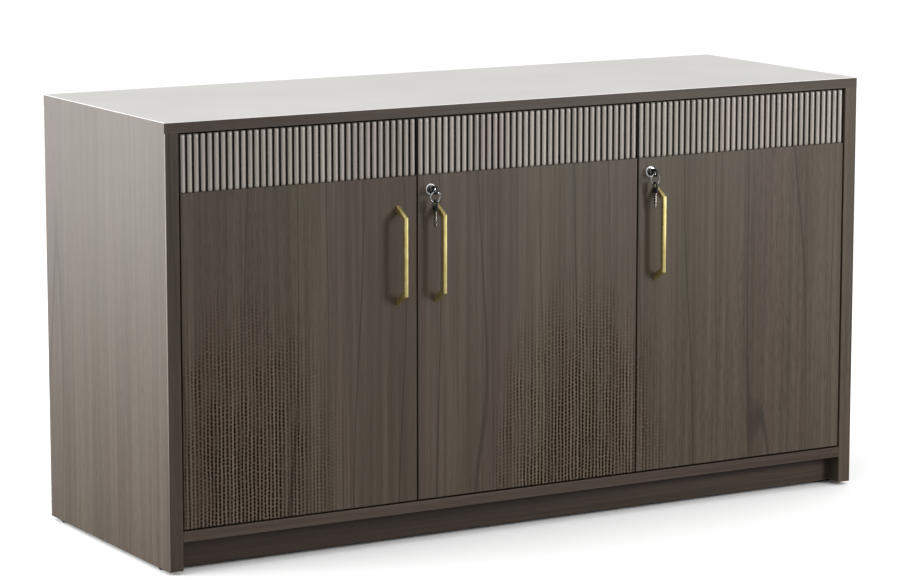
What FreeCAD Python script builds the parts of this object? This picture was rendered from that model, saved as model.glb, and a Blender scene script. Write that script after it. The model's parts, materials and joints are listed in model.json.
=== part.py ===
import FreeCAD, Part
import Sketcher
import os
import re

# A low office cabinet with three inset doors: laminate boards on glides, a reeded strip across
# the top of each door, brass bar handles, cup hinges, and locks on the middle and right doors.
# Millimetres, +X right, +Y back, +Z up. The origin is on the floor, below the middle of the box
# that holds the cabinet and its handles.

Vector = FreeCAD.Vector
Rotation = FreeCAD.Rotation

SIZES = {
    # Overall
    "width": 1380,
    "depth": 480,
    "height": 750,
    # Boards of the carcass
    "side_thickness": 25,
    "top_thickness": 17,
    "laminate_thickness": 1,
    "bottom_thickness": 18,
    "partition_thickness": 18,
    "back_thickness": 6,
    "back_inset": 10,
    "groove_depth": 6,
    "groove_end_gap": 0.5,
    "plinth_height": 48,
    "plinth_thickness": 16,
    "plinth_setback": 30,
    # Shelves on pins
    "shelf_thickness": 18,
    "shelf_height": 312,
    "shelf_setback": 20,
    "shelf_side_gap": 2,
    "pin_diameter": 5,
    "pin_depth": 9,
    "pin_reach": 11,
    "collar_diameter": 8,
    "collar_thickness": 1.5,
    "pin_row_pitch": 32,
    "pin_from_shelf_end": 45,
    # Glides under the side panels
    "glide_height": 6,
    "glide_diameter": 16,
    "glide_tread": 13,
    "glide_spigot": 8,
    "glide_spigot_length": 18,
    "glide_from_front": 52,
    "glide_from_back": 35,
    # Cam fittings and dowels
    "cam_diameter": 15,
    "cam_depth": 13,
    "cam_distance": 34,
    "cam_offset": 8.5,
    "cam_from_edge": 70,
    "cam_bolt_diameter": 6,
    "cam_bolt_seat": 11,
    "dowel_diameter": 8,
    "dowel_half": 14,
    # Doors
    "door_thickness": 18,
    "door_gap": 3,
    "door_recess": 1,
    "flute_band": 96,
    "flute_count": 36,
    "flute_strip": 9,
    "reed_width": 8,
    "reed_depth": 5,
    "reed_crown": 1.6,
    # Cup hinges
    "hinge_from_top": 136,
    "hinge_from_bottom": 100,
    "cup_diameter": 35,
    "cup_tab": 5,
    "cup_depth": 13.5,
    "cup_wall": 1,
    "cup_rim": 1.5,
    "cup_flange": 1.2,
    "ear_diameter": 13,
    "ear_spacing": 45,
    "ear_inset": 9.5,
    "pivot_inset": 15,
    "pivot_depth": 8.5,
    "pivot_diameter": 2.5,
    "pivot_length": 29,
    "eye_wall": 1.1,
    "arm_thickness": 2.5,
    "arm_width": 14,
    "arm_reach": 50,
    "plate_thickness": 3,
    "plate_start": 4,
    "wing_length": 18,
    "wing_span": 48,
    "wing_hole_spacing": 33,
    # Handles
    "handle_length": 170,
    "handle_projection": 30,
    "handle_width": 7,
    "handle_bar_depth": 8,
    "handle_foot": 12,
    "handle_leg_run": 18,
    "handle_chamfer": 0.8,
    "handle_centres": 153,
    "handle_from_top": 229,
    "handle_from_edge": 36,
    "handle_hole_depth": 8.5,
    # Locks
    "lock_from_top": 121,
    "lock_from_edge": 24,
    "lock_face": 20,
    "lock_face_thickness": 2.5,
    "barrel_diameter": 16,
    "plug_diameter": 10,
    "plug_proud": 0.5,
    "case_width": 43,
    "case_height": 36,
    "case_depth": 7.4,
    "case_wall": 1.1,
    "crank_diameter": 18,
    "crank_thickness": 1.4,
    "crank_throw": 5,
    "drive_pin": 3,
    "drive_slack": 0.5,
    "bolt_height": 22,
    "bolt_thickness": 4,
    "bolt_length": 34.5,
    "bolt_start": 0.3,
    "strike_thickness": 1.5,
    "strike_height": 36,
    "strike_reach": 34,
    "strike_front_gap": 0.6,
    "strike_hole_inset": 10,
    "strike_hole_spacing": 24,
    # Keys
    "key_thickness": 2,
    "key_blade_width": 6.6,
    "key_insert": 17,
    "key_neck": 2,
    "key_head_length": 19,
    "key_head_width": 14,
    "key_head_thickness": 4,
    "key_head_round": 1,
    "key_hole": 8,
    "key_hole_inset": 7,
    "key_blade_free": 27,
    "ring_radius": 9,
    "ring_wire": 1.6,
    "ring_drop": 5.75,
    "spare_slack": 0.5,
    # Barrel bolt inside the left door
    "slide_rod": 7,
    "slide_rod_length": 68,
    "slide_travel": 12,
    "slide_plate_width": 22,
    "slide_plate_length": 54,
    "slide_plate_thickness": 1.5,
    "slide_guide_width": 15,
    "slide_guide_length": 10,
    "slide_guide_depth": 11,
    "slide_rod_centre": 6,
    "slide_from_edge": 30,
    "slide_from_top": 3,
    "slide_knob_diameter": 5,
    "slide_knob_length": 12,
    # Screws
    "wood_screw": 4,
    "wood_screw_length": 12,
    "wood_head": 8,
    "wood_head_height": 2.2,
    "cup_screw": 3.5,
    "cup_screw_length": 11,
    "cup_head": 6.5,
    "cup_head_height": 1.8,
    "handle_screw": 4,
    "handle_head": 8,
    "handle_head_height": 2.5,
    # Clearances
    "fit": 0.1,
    "running": 0.25,
    "swing_room": 0.8,
}

# Places that follow from the sizes. Hinge places are measured from the hinged edge of a door (u)
# and back from its front face (v).
LAYOUT = {
    "half_width": "width / 2",
    "inner_half": "width / 2 - side_thickness",
    "front_y": "-(depth - handle_projection + door_recess) / 2",
    "back_y": "front_y + depth",
    "middle_y": "front_y + depth / 2",
    "door_y": "front_y + door_recess",
    "top_z": "height - top_thickness - laminate_thickness",
    "bottom_z": "glide_height + plinth_height",
    "floor_z": "bottom_z + bottom_thickness",
    "side_height": "top_z - glide_height",
    "clear_height": "top_z - floor_z",
    "door_z": "floor_z + door_gap",
    "door_height": "clear_height - 2 * door_gap",
    "door_top": "door_z + door_height",
    "door_width": "(2 * inner_half - 4 * door_gap) / 3",
    "left_door_x": "-inner_half + door_gap",
    "middle_door_x": "left_door_x + door_width + door_gap",
    "right_door_x": "middle_door_x + door_width + door_gap",
    "left_door_end": "left_door_x + door_width",
    "middle_door_end": "middle_door_x + door_width",
    "right_door_end": "right_door_x + door_width",
    "sweep_radius": "sqrt(pivot_inset ^ 2 + (door_thickness - pivot_depth) ^ 2)",
    "frame_v": "pivot_depth + sweep_radius + swing_room",
    "arm_u": "pivot_inset + sweep_radius + swing_room",
    "cup_u": "cup_tab + cup_diameter / 2",
    "ear_u": "cup_u + ear_inset",
    "cup_floor": "door_thickness - cup_depth",
    "cup_radius": "cup_diameter / 2 - fit",
    "eye_bore": "pivot_diameter + 2 * running",
    "upper_hinge_z": "door_top - hinge_from_top",
    "lower_hinge_z": "door_z + hinge_from_bottom",
    "partition_mount": "partition_thickness - door_gap",
    "wing_v": "frame_v + plate_start + (arm_reach - plate_start) / 2",
    "partition_x": "right_door_x - partition_thickness",
    "partition_end": "right_door_x",
    "partition_y": "door_y + frame_v",
    "back_panel_y": "back_y - back_inset - back_thickness",
    "partition_depth": "back_panel_y - partition_y",
    "tongue": "groove_depth - groove_end_gap",
    "shelf_z": "floor_z + shelf_height",
    "shelf_y": "partition_y + shelf_setback",
    "shelf_depth": "back_panel_y - shelf_side_gap - shelf_y",
    "pin_z": "shelf_z - pin_diameter / 2",
    "front_pin_y": "shelf_y + pin_from_shelf_end",
    "back_pin_y": "shelf_y + shelf_depth - pin_from_shelf_end",
    "front_cam_y": "front_y + cam_from_edge",
    "back_cam_y": "back_y - cam_from_edge",
    "front_glide_y": "front_y + glide_from_front",
    "back_glide_y": "back_y - glide_from_back",
    "front_plinth_y": "front_y + plinth_setback",
    "rear_plinth_y": "back_y - plinth_setback - plinth_thickness",
    "plinth_dowel_z": "glide_height + plinth_height / 2",
    "joint_x": "inner_half + cam_offset",
    "cam_z": "top_z - cam_distance",
    "bottom_cam_z": "bottom_z + cam_offset",
    "bottom_cam_x": "inner_half - cam_distance",
    "partition_middle_x": "partition_x + partition_thickness / 2",
    "partition_front_dowel": "partition_y + cam_from_edge",
    "partition_back_dowel": "back_panel_y - cam_from_edge",
    "flute_pitch": "door_width / flute_count",
    "reed_start": "(flute_pitch - reed_width) / 2",
    "reed_radius": "(reed_width ^ 2 / 4 + reed_crown ^ 2) / (2 * reed_crown)",
    "handle_z": "door_top - handle_from_top",
    "handle_half": "handle_length / 2",
    "handle_bend": "handle_half - handle_leg_run",
    "handle_back": "handle_projection - handle_bar_depth",
    "handle_slope": "handle_leg_run / handle_projection",
    "handle_inner_foot": "handle_half - handle_foot",
    "handle_inner_bend": "handle_inner_foot - handle_slope * handle_back",
    "lock_z": "door_top - lock_from_top",
    "case_v": "door_thickness + case_depth",
    "channel_end": "case_v - case_wall",
    "bolt_v": "channel_end - running - bolt_thickness",
    "crank_v": "bolt_v - running - crank_thickness",
    "plug_front": "lock_face_thickness + plug_proud",
    "bolt_x": "-case_width / 2 + bolt_start",
    "crank_reach": "crank_throw * sqrt(2)",
    "drive_slot": "drive_pin + 2 * drive_slack",
    "strike_v": "door_thickness + strike_front_gap",
    "strike_hole_y": "partition_y + strike_reach - strike_hole_inset",
    "key_head_end": "plug_front + key_neck + key_head_length",
    "key_head_start": "plug_front + key_neck",
    "ring_y": "-(key_head_end - key_hole_inset)",
    "rim_z": "-(key_head_width + key_hole) / 4",
    "ring_z": "rim_z - ring_drop",
    "spare_hole_z": "ring_z - ring_radius + ring_wire / 2 + spare_slack - key_hole / 2",
    "spare_blade_z": "spare_hole_z + key_hole_inset - key_head_length",
    "slide_x": "left_door_end - slide_from_edge",
    "slide_v": "door_thickness + slide_rod_centre",
    "slide_top": "door_top - slide_from_top",
}

doc = FreeCAD.newDocument("low_storage_cabinet")
nodes = {}


def with_sheets(text, own_sheet=""):
    """Writes the sheet's name before each size and place that a formula names."""

    def full_name(match):
        word = match.group(0)
        if word in SIZES:
            return "Sizes." + word
        if word in LAYOUT:
            return own_sheet + word
        return word

    return re.sub(r"[a-z_]+", full_name, str(text))


def fill_sheet(name, rows):
    sheet = doc.addObject("Spreadsheet::Sheet", name)
    for row, (alias, value) in enumerate(rows, start=1):
        sheet.set(f"A{row}", alias)
        sheet.set(f"B{row}", value)
        sheet.setAlias(f"B{row}", alias)


def bind(piece, **formulas):
    for name, text in formulas.items():
        piece.setExpression(name, with_sheets(text, "Layout."))
    return piece


def put(piece, x="0", y="0", z="0", turn=Rotation()):
    piece.Placement = FreeCAD.Placement(Vector(), turn)
    for axis, text in zip("xyz", (x, y, z)):
        piece.setExpression("Placement.Base." + axis, with_sheets(text, "Layout."))
    return piece


fill_sheet("Sizes", [(alias, str(number)) for alias, number in SIZES.items()])
fill_sheet("Layout", [(alias, "=" + with_sheets(text)) for alias, text in LAYOUT.items()])
doc.recompute()

# Turns that lay a piece made along +Z along another direction
ALONG = {
    "x": Rotation(Vector(0, 1, 0), 90),
    "-x": Rotation(Vector(0, 1, 0), -90),
    "y": Rotation(Vector(1, 0, 0), -90),
    "-y": Rotation(Vector(1, 0, 0), 90),
    "z": Rotation(),
}
# A hinge made for a left edge, turned round to serve a right edge
RIGHT_EDGE = Rotation(Vector(0, 1, 0), 180)


def box(x, y, z, length, width, height, name="Block"):
    block = doc.addObject("Part::Box", name)
    bind(block, Length=length, Width=width, Height=height)
    return put(block, x, y, z)


def rod(along, x, y, z, diameter, length, name="Rod"):
    cylinder = doc.addObject("Part::Cylinder", name)
    bind(cylinder, Radius=f"({diameter}) / 2", Height=length)
    return put(cylinder, x, y, z, ALONG[along])


def fuse(pieces, name="Joined"):
    joined = doc.addObject("Part::MultiFuse", name)
    joined.Shapes = pieces
    return joined


def cut(base, tools, name="Drilled"):
    drilled = doc.addObject("Part::Cut", name)
    drilled.Base = base
    drilled.Tool = tools[0] if len(tools) == 1 else fuse(tools, "Cuts")
    return drilled


def copy(master, x="0", y="0", z="0", turn=Rotation()):
    link = doc.addObject("App::Link", master.Name + "_copy")
    link.LinkedObject = master
    return put(link, x, y, z, turn)


def node(label, piece):
    piece.Label = label
    nodes[label] = piece
    return piece


def group(label, pieces):
    together = doc.addObject("Part::Compound", label)
    together.Links = pieces
    return node(label, together)


def origin_feature(body, role):
    return next(f for f in body.Origin.OriginFeatures if f.Role == role)


def outline(body, plane, points, name, crown=None):
    """A closed sketch whose corners are bound to formulas. A crown bows its second line, by radius."""
    sketch = body.newObject("Sketcher::SketchObject", name)
    sketch.AttachmentSupport = [(origin_feature(body, plane), "")]
    sketch.MapMode = "FlatFace"
    formulas = [[with_sheets(text, "Layout.") for text in corner] for corner in points]
    corners = [Vector(*[float(sketch.evalExpression(text)) for text in pair], 0) for pair in formulas]
    for line, (start, end) in enumerate(zip(corners, corners[1:] + corners[:1])):
        if crown and line == 1:
            top = (start + end) / 2 - Vector(0, start.y, 0)
            sketch.addGeometry(Part.Arc(start, top, end))
        else:
            sketch.addGeometry(Part.LineSegment(start, end))
    ends = [line_ends(sketch, line, corners[line]) for line in range(len(points))]
    for line in range(len(points)):
        after = (line + 1) % len(points)
        sketch.addConstraint(Sketcher.Constraint("Coincident", line, ends[line][1], after, ends[after][0]))
    for line, pair in enumerate(formulas):
        for kind, text in zip(("DistanceX", "DistanceY"), pair):
            value = float(sketch.evalExpression(text))
            number = sketch.addConstraint(Sketcher.Constraint(kind, -1, 1, line, ends[line][0], value))
            sketch.setExpression(f"Constraints[{number}]", text)
    if crown:
        text = with_sheets(crown, "Layout.")
        number = sketch.addConstraint(Sketcher.Constraint("Radius", 1, float(sketch.evalExpression(text))))
        sketch.setExpression(f"Constraints[{number}]", text)
    return sketch


def line_ends(sketch, line, start):
    """The numbers of a line's first and last point, which an arc may hold the other way round."""
    return (1, 2) if sketch.getPoint(line, 1).isEqual(start, 1e-6) else (2, 1)


def pad(body, sketch, length, name, both_ways=False):
    feature = body.newObject("PartDesign::Pad", name)
    feature.Profile = sketch
    bind(feature, Length=length)
    if both_ways:
        feature.SideType = "Symmetric"
    doc.recompute()
    return feature


def turned(body, sketch, axis):
    feature = body.newObject("PartDesign::Revolution", body.Name + "_turned")
    feature.Profile = sketch
    feature.ReferenceAxis = (origin_feature(body, axis), [""])
    feature.Angle = 360


def outline_edges(feature, seat_y=None):
    """The edges along the two flat sides of a plate padded along X, less those on a seat."""
    names = []
    for number, edge in enumerate(feature.Shape.Edges, start=1):
        limits = edge.BoundBox
        on_seat = seat_y is not None and limits.YLength < 1e-6 and abs(limits.YMin - seat_y) < 1e-6
        if limits.XLength < 1e-6 and not on_seat:
            names.append(f"Edge{number}")
    return names


def bevel(along, x, bore, size):
    """A cone that breaks the edge of a bore through a plate, from its narrow end."""
    cone = doc.addObject("Part::Cone", "Bevel")
    bind(cone, Radius1=f"{bore} / 2", Radius2=f"{bore} / 2 + {size}", Height=size)
    return put(cone, x, turn=ALONG[along])


# Screws: a pan head that stands on z = 0 with the shank below it.
def screw(name, shank, length, head, head_height):
    return fuse(
        [rod("z", "0", "0", "0", head, head_height), rod("z", "0", "0", f"-({length})", shank, length)],
        name,
    )


wood_screw = screw("Wood_screw", "wood_screw", "wood_screw_length", "wood_head", "wood_head_height")
cup_screw = screw("Cup_screw", "cup_screw", "cup_screw_length", "cup_head", "cup_head_height")
handle_screw = screw(
    "Handle_screw",
    "handle_screw",
    "door_thickness + handle_hole_depth - running",
    "handle_head",
    "handle_head_height",
)


# Side panels: drilled for cams, dowels, shelf pins, hinge plates and glides, grooved for the back.
def into_side(sign, deep):
    return f"-inner_half - ({deep})" if sign < 0 else "inner_half"


def side_panel(label, sign):
    board = box(
        "-half_width" if sign < 0 else "inner_half",
        "front_y",
        "glide_height",
        "side_thickness",
        "depth",
        "side_height",
    )
    holes = [
        box(
            into_side(sign, "groove_depth"),
            "back_panel_y - fit",
            "floor_z - groove_depth",
            "groove_depth",
            "back_thickness + 2 * fit",
            "clear_height + groove_depth",
        )
    ]

    def from_inside(y, z, diameter, deep):
        holes.append(rod("x", into_side(sign, deep), y, z, diameter, deep))

    for y in ("front_pin_y", "back_pin_y"):
        for row in (-1, 0, 1):
            z = f"pin_z + {row} * pin_row_pitch"
            from_inside(y, z, "pin_diameter + 2 * fit", "pin_depth + fit")
    for y in ("front_cam_y", "back_cam_y"):
        from_inside(y, "cam_z", "cam_diameter", "cam_depth")
        from_inside(y, "bottom_cam_z", "cam_bolt_diameter + 2 * fit", "cam_bolt_seat + fit")
        bore = "cam_bolt_diameter + 2 * fit"
        holes.append(rod("z", f"{sign} * joint_x", y, "cam_z", bore, "cam_distance"))
    from_inside("middle_y", "bottom_cam_z", "dowel_diameter + 2 * fit", "dowel_half + fit")
    dowel_bore = "dowel_diameter + 2 * fit"
    dowel_start = "top_z - dowel_half - fit"
    holes.append(rod("z", f"{sign} * joint_x", "middle_y", dowel_start, dowel_bore, "dowel_half + fit"))
    for y in ("front_plinth_y", "rear_plinth_y"):
        from_inside(f"{y} + plinth_thickness / 2", "plinth_dowel_z", dowel_bore, "dowel_half + fit")
    for hinge_z in ("upper_hinge_z", "lower_hinge_z"):
        for half in (-0.5, 0.5):
            z = f"{hinge_z} + {half} * wing_hole_spacing"
            screw_bore = "wood_screw + 2 * fit"
            from_inside("door_y + wing_v", z, screw_bore, "wood_screw_length - plate_thickness + fit")
    for y in ("front_glide_y", "back_glide_y"):
        x = f"{sign} * (half_width - side_thickness / 2)"
        spigot_bore = "glide_spigot + 2 * fit"
        holes.append(rod("z", x, y, "glide_height", spigot_bore, "glide_spigot_length + fit"))
    node(label, cut(board, holes, label))


side_panel("left_side_panel", -1)
side_panel("right_side_panel", 1)

# Top board over the sides, with a groove for the back, and its pale laminate sheet.
top_board = box("-half_width", "front_y", "top_z", "width", "depth", "top_thickness")
top_holes = [
    box(
        "-inner_half - groove_depth",
        "back_panel_y - fit",
        "top_z",
        "2 * (inner_half + groove_depth)",
        "back_thickness + 2 * fit",
        "groove_depth",
    ),
    rod("z", "slide_x", "door_y + slide_v", "top_z", "slide_rod + 4 * running", "slide_travel"),
]
for sign in (-1, 1):
    for y in ("front_cam_y", "back_cam_y"):
        bolt_bore = "cam_bolt_diameter + 2 * fit"
        top_holes.append(rod("z", f"{sign} * joint_x", y, "top_z", bolt_bore, "cam_bolt_seat + fit"))
    top_holes.append(
        rod("z", f"{sign} * joint_x", "middle_y", "top_z", "dowel_diameter + 2 * fit", "dowel_half + fit")
    )
for y in ("partition_front_dowel", "partition_back_dowel"):
    top_holes.append(
        rod("z", "partition_middle_x", y, "top_z", "dowel_diameter + 2 * fit", "dowel_half + fit")
    )
node("top_panel", cut(top_board, top_holes, "top_panel"))
laminate_z = "height - laminate_thickness"
node(
    "top_laminate",
    box("-half_width", "front_y", laminate_z, "width", "depth", "laminate_thickness", "top_laminate"),
)

# Bottom board between the sides, its front edge in line with theirs; the cams sit in its underside.
bottom_board = box("-inner_half", "front_y", "bottom_z", "2 * inner_half", "depth", "bottom_thickness")
bottom_holes = [
    box(
        "-inner_half",
        "back_panel_y - fit",
        "floor_z - groove_depth",
        "2 * inner_half",
        "back_thickness + 2 * fit",
        "groove_depth",
    )
]
for sign in (-1, 1):
    for y in ("front_cam_y", "back_cam_y"):
        bottom_holes.append(rod("z", f"{sign} * bottom_cam_x", y, "bottom_z", "cam_diameter", "cam_depth"))
        start = "-inner_half" if sign < 0 else "bottom_cam_x"
        bolt_bore = "cam_bolt_diameter + 2 * fit"
        bottom_holes.append(rod("x", start, y, "bottom_cam_z", bolt_bore, "cam_distance"))
    start = "-inner_half" if sign < 0 else "inner_half - dowel_half - fit"
    dowel_bore = "dowel_diameter + 2 * fit"
    bottom_holes.append(rod("x", start, "middle_y", "bottom_cam_z", dowel_bore, "dowel_half + fit"))
for y in ("partition_front_dowel", "partition_back_dowel"):
    start = "floor_z - dowel_half - fit"
    dowel_bore = "dowel_diameter + 2 * fit"
    bottom_holes.append(rod("z", "partition_middle_x", y, start, dowel_bore, "dowel_half + fit"))
node("bottom_panel", cut(bottom_board, bottom_holes, "bottom_panel"))

# Partition behind the hinged edge of the middle door.
partition_board = box(
    "partition_x", "partition_y", "floor_z", "partition_thickness", "partition_depth", "clear_height"
)
partition_holes = []
for y in ("partition_front_dowel", "partition_back_dowel"):
    for start in ("floor_z", "top_z - dowel_half - fit"):
        partition_holes.append(
            rod("z", "partition_middle_x", y, start, "dowel_diameter + 2 * fit", "dowel_half + fit")
        )
for y in ("front_pin_y", "back_pin_y"):
    for row in (-1, 0, 1):
        z = f"pin_z + {row} * pin_row_pitch"
        bore = "pin_diameter + 2 * fit"
        partition_holes.append(rod("x", "partition_x", y, z, bore, "partition_thickness"))
screw_bore = "wood_screw + 2 * fit"
screw_deep = "wood_screw_length - plate_thickness + fit"
for hinge_z in ("upper_hinge_z", "lower_hinge_z"):
    for half in (-0.5, 0.5):
        z = f"{hinge_z} + {half} * wing_hole_spacing"
        partition_holes.append(rod("x", "partition_x", "door_y + wing_v", z, screw_bore, screw_deep))
strike_deep = "wood_screw_length - strike_thickness + fit"
for half in (-0.5, 0.5):
    z = f"lock_z + {half} * strike_hole_spacing"
    start = f"partition_end - ({strike_deep})"
    partition_holes.append(rod("x", start, "strike_hole_y", z, screw_bore, strike_deep))
node("partition", cut(partition_board, partition_holes, "partition"))

# Back panel, in grooves all round.
node(
    "back_panel",
    box(
        "-inner_half - tongue",
        "back_panel_y",
        "floor_z - tongue",
        "2 * (inner_half + tongue)",
        "back_thickness",
        "clear_height + 2 * tongue",
        "back_panel",
    ),
)


# Plinth boards between the sides, under the bottom board.
def plinth(label, y):
    board = box("-inner_half", y, "glide_height", "2 * inner_half", "plinth_thickness", "plinth_height")
    holes = []
    for start in ("-inner_half", "inner_half - dowel_half - fit"):
        bore = "dowel_diameter + 2 * fit"
        middle = f"{y} + plinth_thickness / 2"
        holes.append(rod("x", start, middle, "plinth_dowel_z", bore, "dowel_half + fit"))
    node(label, cut(board, holes, label))


plinth("plinth_front", "front_plinth_y")
plinth("plinth_rear", "rear_plinth_y")

# Shelves and the pins that carry them.
for label, start, end in (
    ("shelf_left", "-inner_half", "partition_x"),
    ("shelf_right", "partition_end", "inner_half"),
):
    left = f"{start} + shelf_side_gap"
    length = f"{end} - ({start}) - 2 * shelf_side_gap"
    node(label, box(left, "shelf_y", "shelf_z", length, "shelf_depth", "shelf_thickness", label))


def shelf_pin(name, deep):
    return fuse(
        [
            rod("x", f"-({deep})", "0", "0", "pin_diameter", f"{deep} + pin_reach"),
            rod("x", "0", "0", "0", "collar_diameter", "collar_thickness"),
        ],
        name,
    )


side_pin = shelf_pin("Side_pin", "pin_depth")
partition_pin = shelf_pin("Partition_pin", "partition_thickness / 2 - fit")
shelf_pins = []
for y in ("front_pin_y", "back_pin_y"):
    shelf_pins.append(copy(side_pin, "-inner_half", y, "pin_z"))
    shelf_pins.append(copy(side_pin, "inner_half", y, "pin_z", RIGHT_EDGE))
    shelf_pins.append(copy(partition_pin, "partition_end", y, "pin_z"))
    shelf_pins.append(copy(partition_pin, "partition_x", y, "pin_z", RIGHT_EDGE))
group("shelf_pins", shelf_pins)

# Glides: a turned plastic foot with a spigot that pushes up into the side panel.
glide = doc.addObject("PartDesign::Body", "Glide")
glide_profile = outline(
    glide,
    "XZ_Plane",
    [
        ("0", "0"),
        ("glide_tread / 2", "0"),
        ("glide_diameter / 2", "glide_height / 3"),
        ("glide_diameter / 2", "glide_height"),
        ("glide_spigot / 2", "glide_height"),
        ("glide_spigot / 2", "glide_height + glide_spigot_length"),
        ("0", "glide_height + glide_spigot_length"),
    ],
    "Glide_profile",
)
turned(glide, glide_profile, "Z_Axis")
glides = []
for sign in (-1, 1):
    for y in ("front_glide_y", "back_glide_y"):
        glides.append(copy(glide, f"{sign} * (half_width - side_thickness / 2)", y))
group("glide_feet", glides)

# Cam fittings: a disc turned in the side or bottom board grips the end of a bolt from its neighbour.
# A disc's bore opens along its own -X.
cam_disc = cut(
    rod("z", "0", "0", "0", "cam_diameter - 2 * fit", "cam_depth - fit"),
    [rod("x", "-cam_diameter", "0", "cam_offset", "cam_bolt_diameter + 2 * fit", "cam_diameter + fit")],
    "Cam_disc",
)
cam_bolt = rod("z", "0", "0", "0", "cam_bolt_diameter", "cam_distance + cam_bolt_seat", "Cam_bolt")
cam_discs = []
cam_bolts = []
for sign in (-1, 1):
    in_side = Rotation(Vector(0, 0, -1), Vector(0, sign, 0), Vector(sign, 0, 0), "ZXY")
    in_bottom = Rotation(Vector(0, 0, 1), 0 if sign < 0 else 180)
    outwards = ALONG["-x"] if sign < 0 else ALONG["x"]
    for y in ("front_cam_y", "back_cam_y"):
        cam_discs.append(copy(cam_disc, f"{sign} * inner_half", y, "cam_z", in_side))
        cam_discs.append(copy(cam_disc, f"{sign} * bottom_cam_x", y, "bottom_z", in_bottom))
        cam_bolts.append(copy(cam_bolt, f"{sign} * joint_x", y, "cam_z"))
        cam_bolts.append(copy(cam_bolt, f"{sign} * bottom_cam_x", y, "bottom_cam_z", outwards))
group("cam_discs", cam_discs)
group("cam_bolts", cam_bolts)

# Dowels, half in each of the two boards that they line up.
dowel = rod("z", "0", "0", "0", "dowel_diameter", "2 * dowel_half", "Dowel")
dowels = []
for sign in (-1, 1):
    dowels.append(copy(dowel, f"{sign} * joint_x", "middle_y", "top_z - dowel_half"))
    start = f"{sign} * inner_half - dowel_half"
    dowels.append(copy(dowel, start, "middle_y", "bottom_cam_z", ALONG["x"]))
    for y in ("front_plinth_y", "rear_plinth_y"):
        dowels.append(copy(dowel, start, f"{y} + plinth_thickness / 2", "plinth_dowel_z", ALONG["x"]))
for y in ("partition_front_dowel", "partition_back_dowel"):
    for joint in ("floor_z", "top_z"):
        dowels.append(copy(dowel, "partition_middle_x", y, f"{joint} - dowel_half"))
group("dowels", dowels)

# Reeded strip: a thin board with convex reeds, milled along Z, from the door's left edge to its right.
flutes = doc.addObject("PartDesign::Body", "Flutes")
flute_board = outline(
    flutes,
    "XY_Plane",
    [
        ("0", "reed_depth"),
        ("door_width", "reed_depth"),
        ("door_width", "flute_strip"),
        ("0", "flute_strip"),
    ],
    "Flute_board",
)
pad(flutes, flute_board, "flute_band", "Flute_board_pad")
reed = outline(
    flutes,
    "XY_Plane",
    [
        ("reed_start", "flute_strip"),
        ("reed_start", "reed_crown"),
        ("reed_start + reed_width", "reed_crown"),
        ("reed_start + reed_width", "flute_strip"),
    ],
    "Reed",
    crown="reed_radius",
)
reed_pad = pad(flutes, reed, "flute_band", "Reed_pad")
reeds = flutes.newObject("PartDesign::LinearPattern", "Reeds")
reeds.Originals = [reed_pad]
reeds.Direction = (origin_feature(flutes, "X_Axis"), [""])
bind(reeds, Length="flute_pitch * (flute_count - 1)", Occurrences="flute_count")
flutes.Tip = reeds

# Bar handle: a flat bar whose ends turn back to the door on slanted legs.
handle_bar = doc.addObject("PartDesign::Body", "Handle_bar")
handle_outline = outline(
    handle_bar,
    "YZ_Plane",
    [
        ("0", "handle_half"),
        ("-handle_projection", "handle_bend"),
        ("-handle_projection", "-handle_bend"),
        ("0", "-handle_half"),
        ("0", "-handle_inner_foot"),
        ("-handle_back", "-handle_inner_bend"),
        ("-handle_back", "handle_inner_bend"),
        ("0", "handle_inner_foot"),
    ],
    "Handle_outline",
)
handle_pad = pad(handle_bar, handle_outline, "handle_width", "Handle_pad", both_ways=True)
handle_edges = handle_bar.newObject("PartDesign::Chamfer", "Handle_edges")
handle_edges.Base = (handle_pad, outline_edges(handle_pad, seat_y=0))
bind(handle_edges, Size="handle_chamfer")
handle = cut(
    handle_bar,
    [
        rod(
            "-y",
            "0",
            "0",
            f"{half} * handle_centres",
            "handle_screw + 2 * fit",
            "handle_hole_depth",
        )
        for half in (-0.5, 0.5)
    ],
    "Handle",
)

# Cup hinge, made for a left edge: u along +X from the edge, v along +Y from the door's front face.
cup = cut(
    fuse(
        [
            rod("y", "cup_u", "cup_floor", "0", "2 * cup_radius", "cup_depth"),
            rod("y", "cup_u", "door_thickness", "0", "cup_diameter + 2 * cup_rim", "cup_flange"),
            box(
                "ear_u - ear_diameter / 2",
                "door_thickness",
                "-ear_spacing / 2",
                "ear_diameter",
                "cup_flange",
                "ear_spacing",
            ),
        ]
        + [
            rod("y", "ear_u", "door_thickness", f"{half} * ear_spacing", "ear_diameter", "cup_flange")
            for half in (-0.5, 0.5)
        ]
    ),
    [
        rod(
            "y",
            "cup_u",
            "cup_floor + cup_wall",
            "0",
            "2 * (cup_radius - cup_wall)",
            "cup_depth + cup_flange",
        ),
        rod("z", "pivot_inset", "pivot_depth", "-cup_radius", "pivot_diameter + 2 * fit", "cup_diameter"),
    ]
    + [
        rod(
            "y",
            "ear_u",
            "door_thickness",
            f"{half} * ear_spacing",
            "cup_screw + 2 * fit",
            "cup_flange",
        )
        for half in (-0.5, 0.5)
    ],
    "Cup",
)
pivot = rod("z", "0", "0", "0", "pivot_diameter", "pivot_length", "Pivot")


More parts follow.
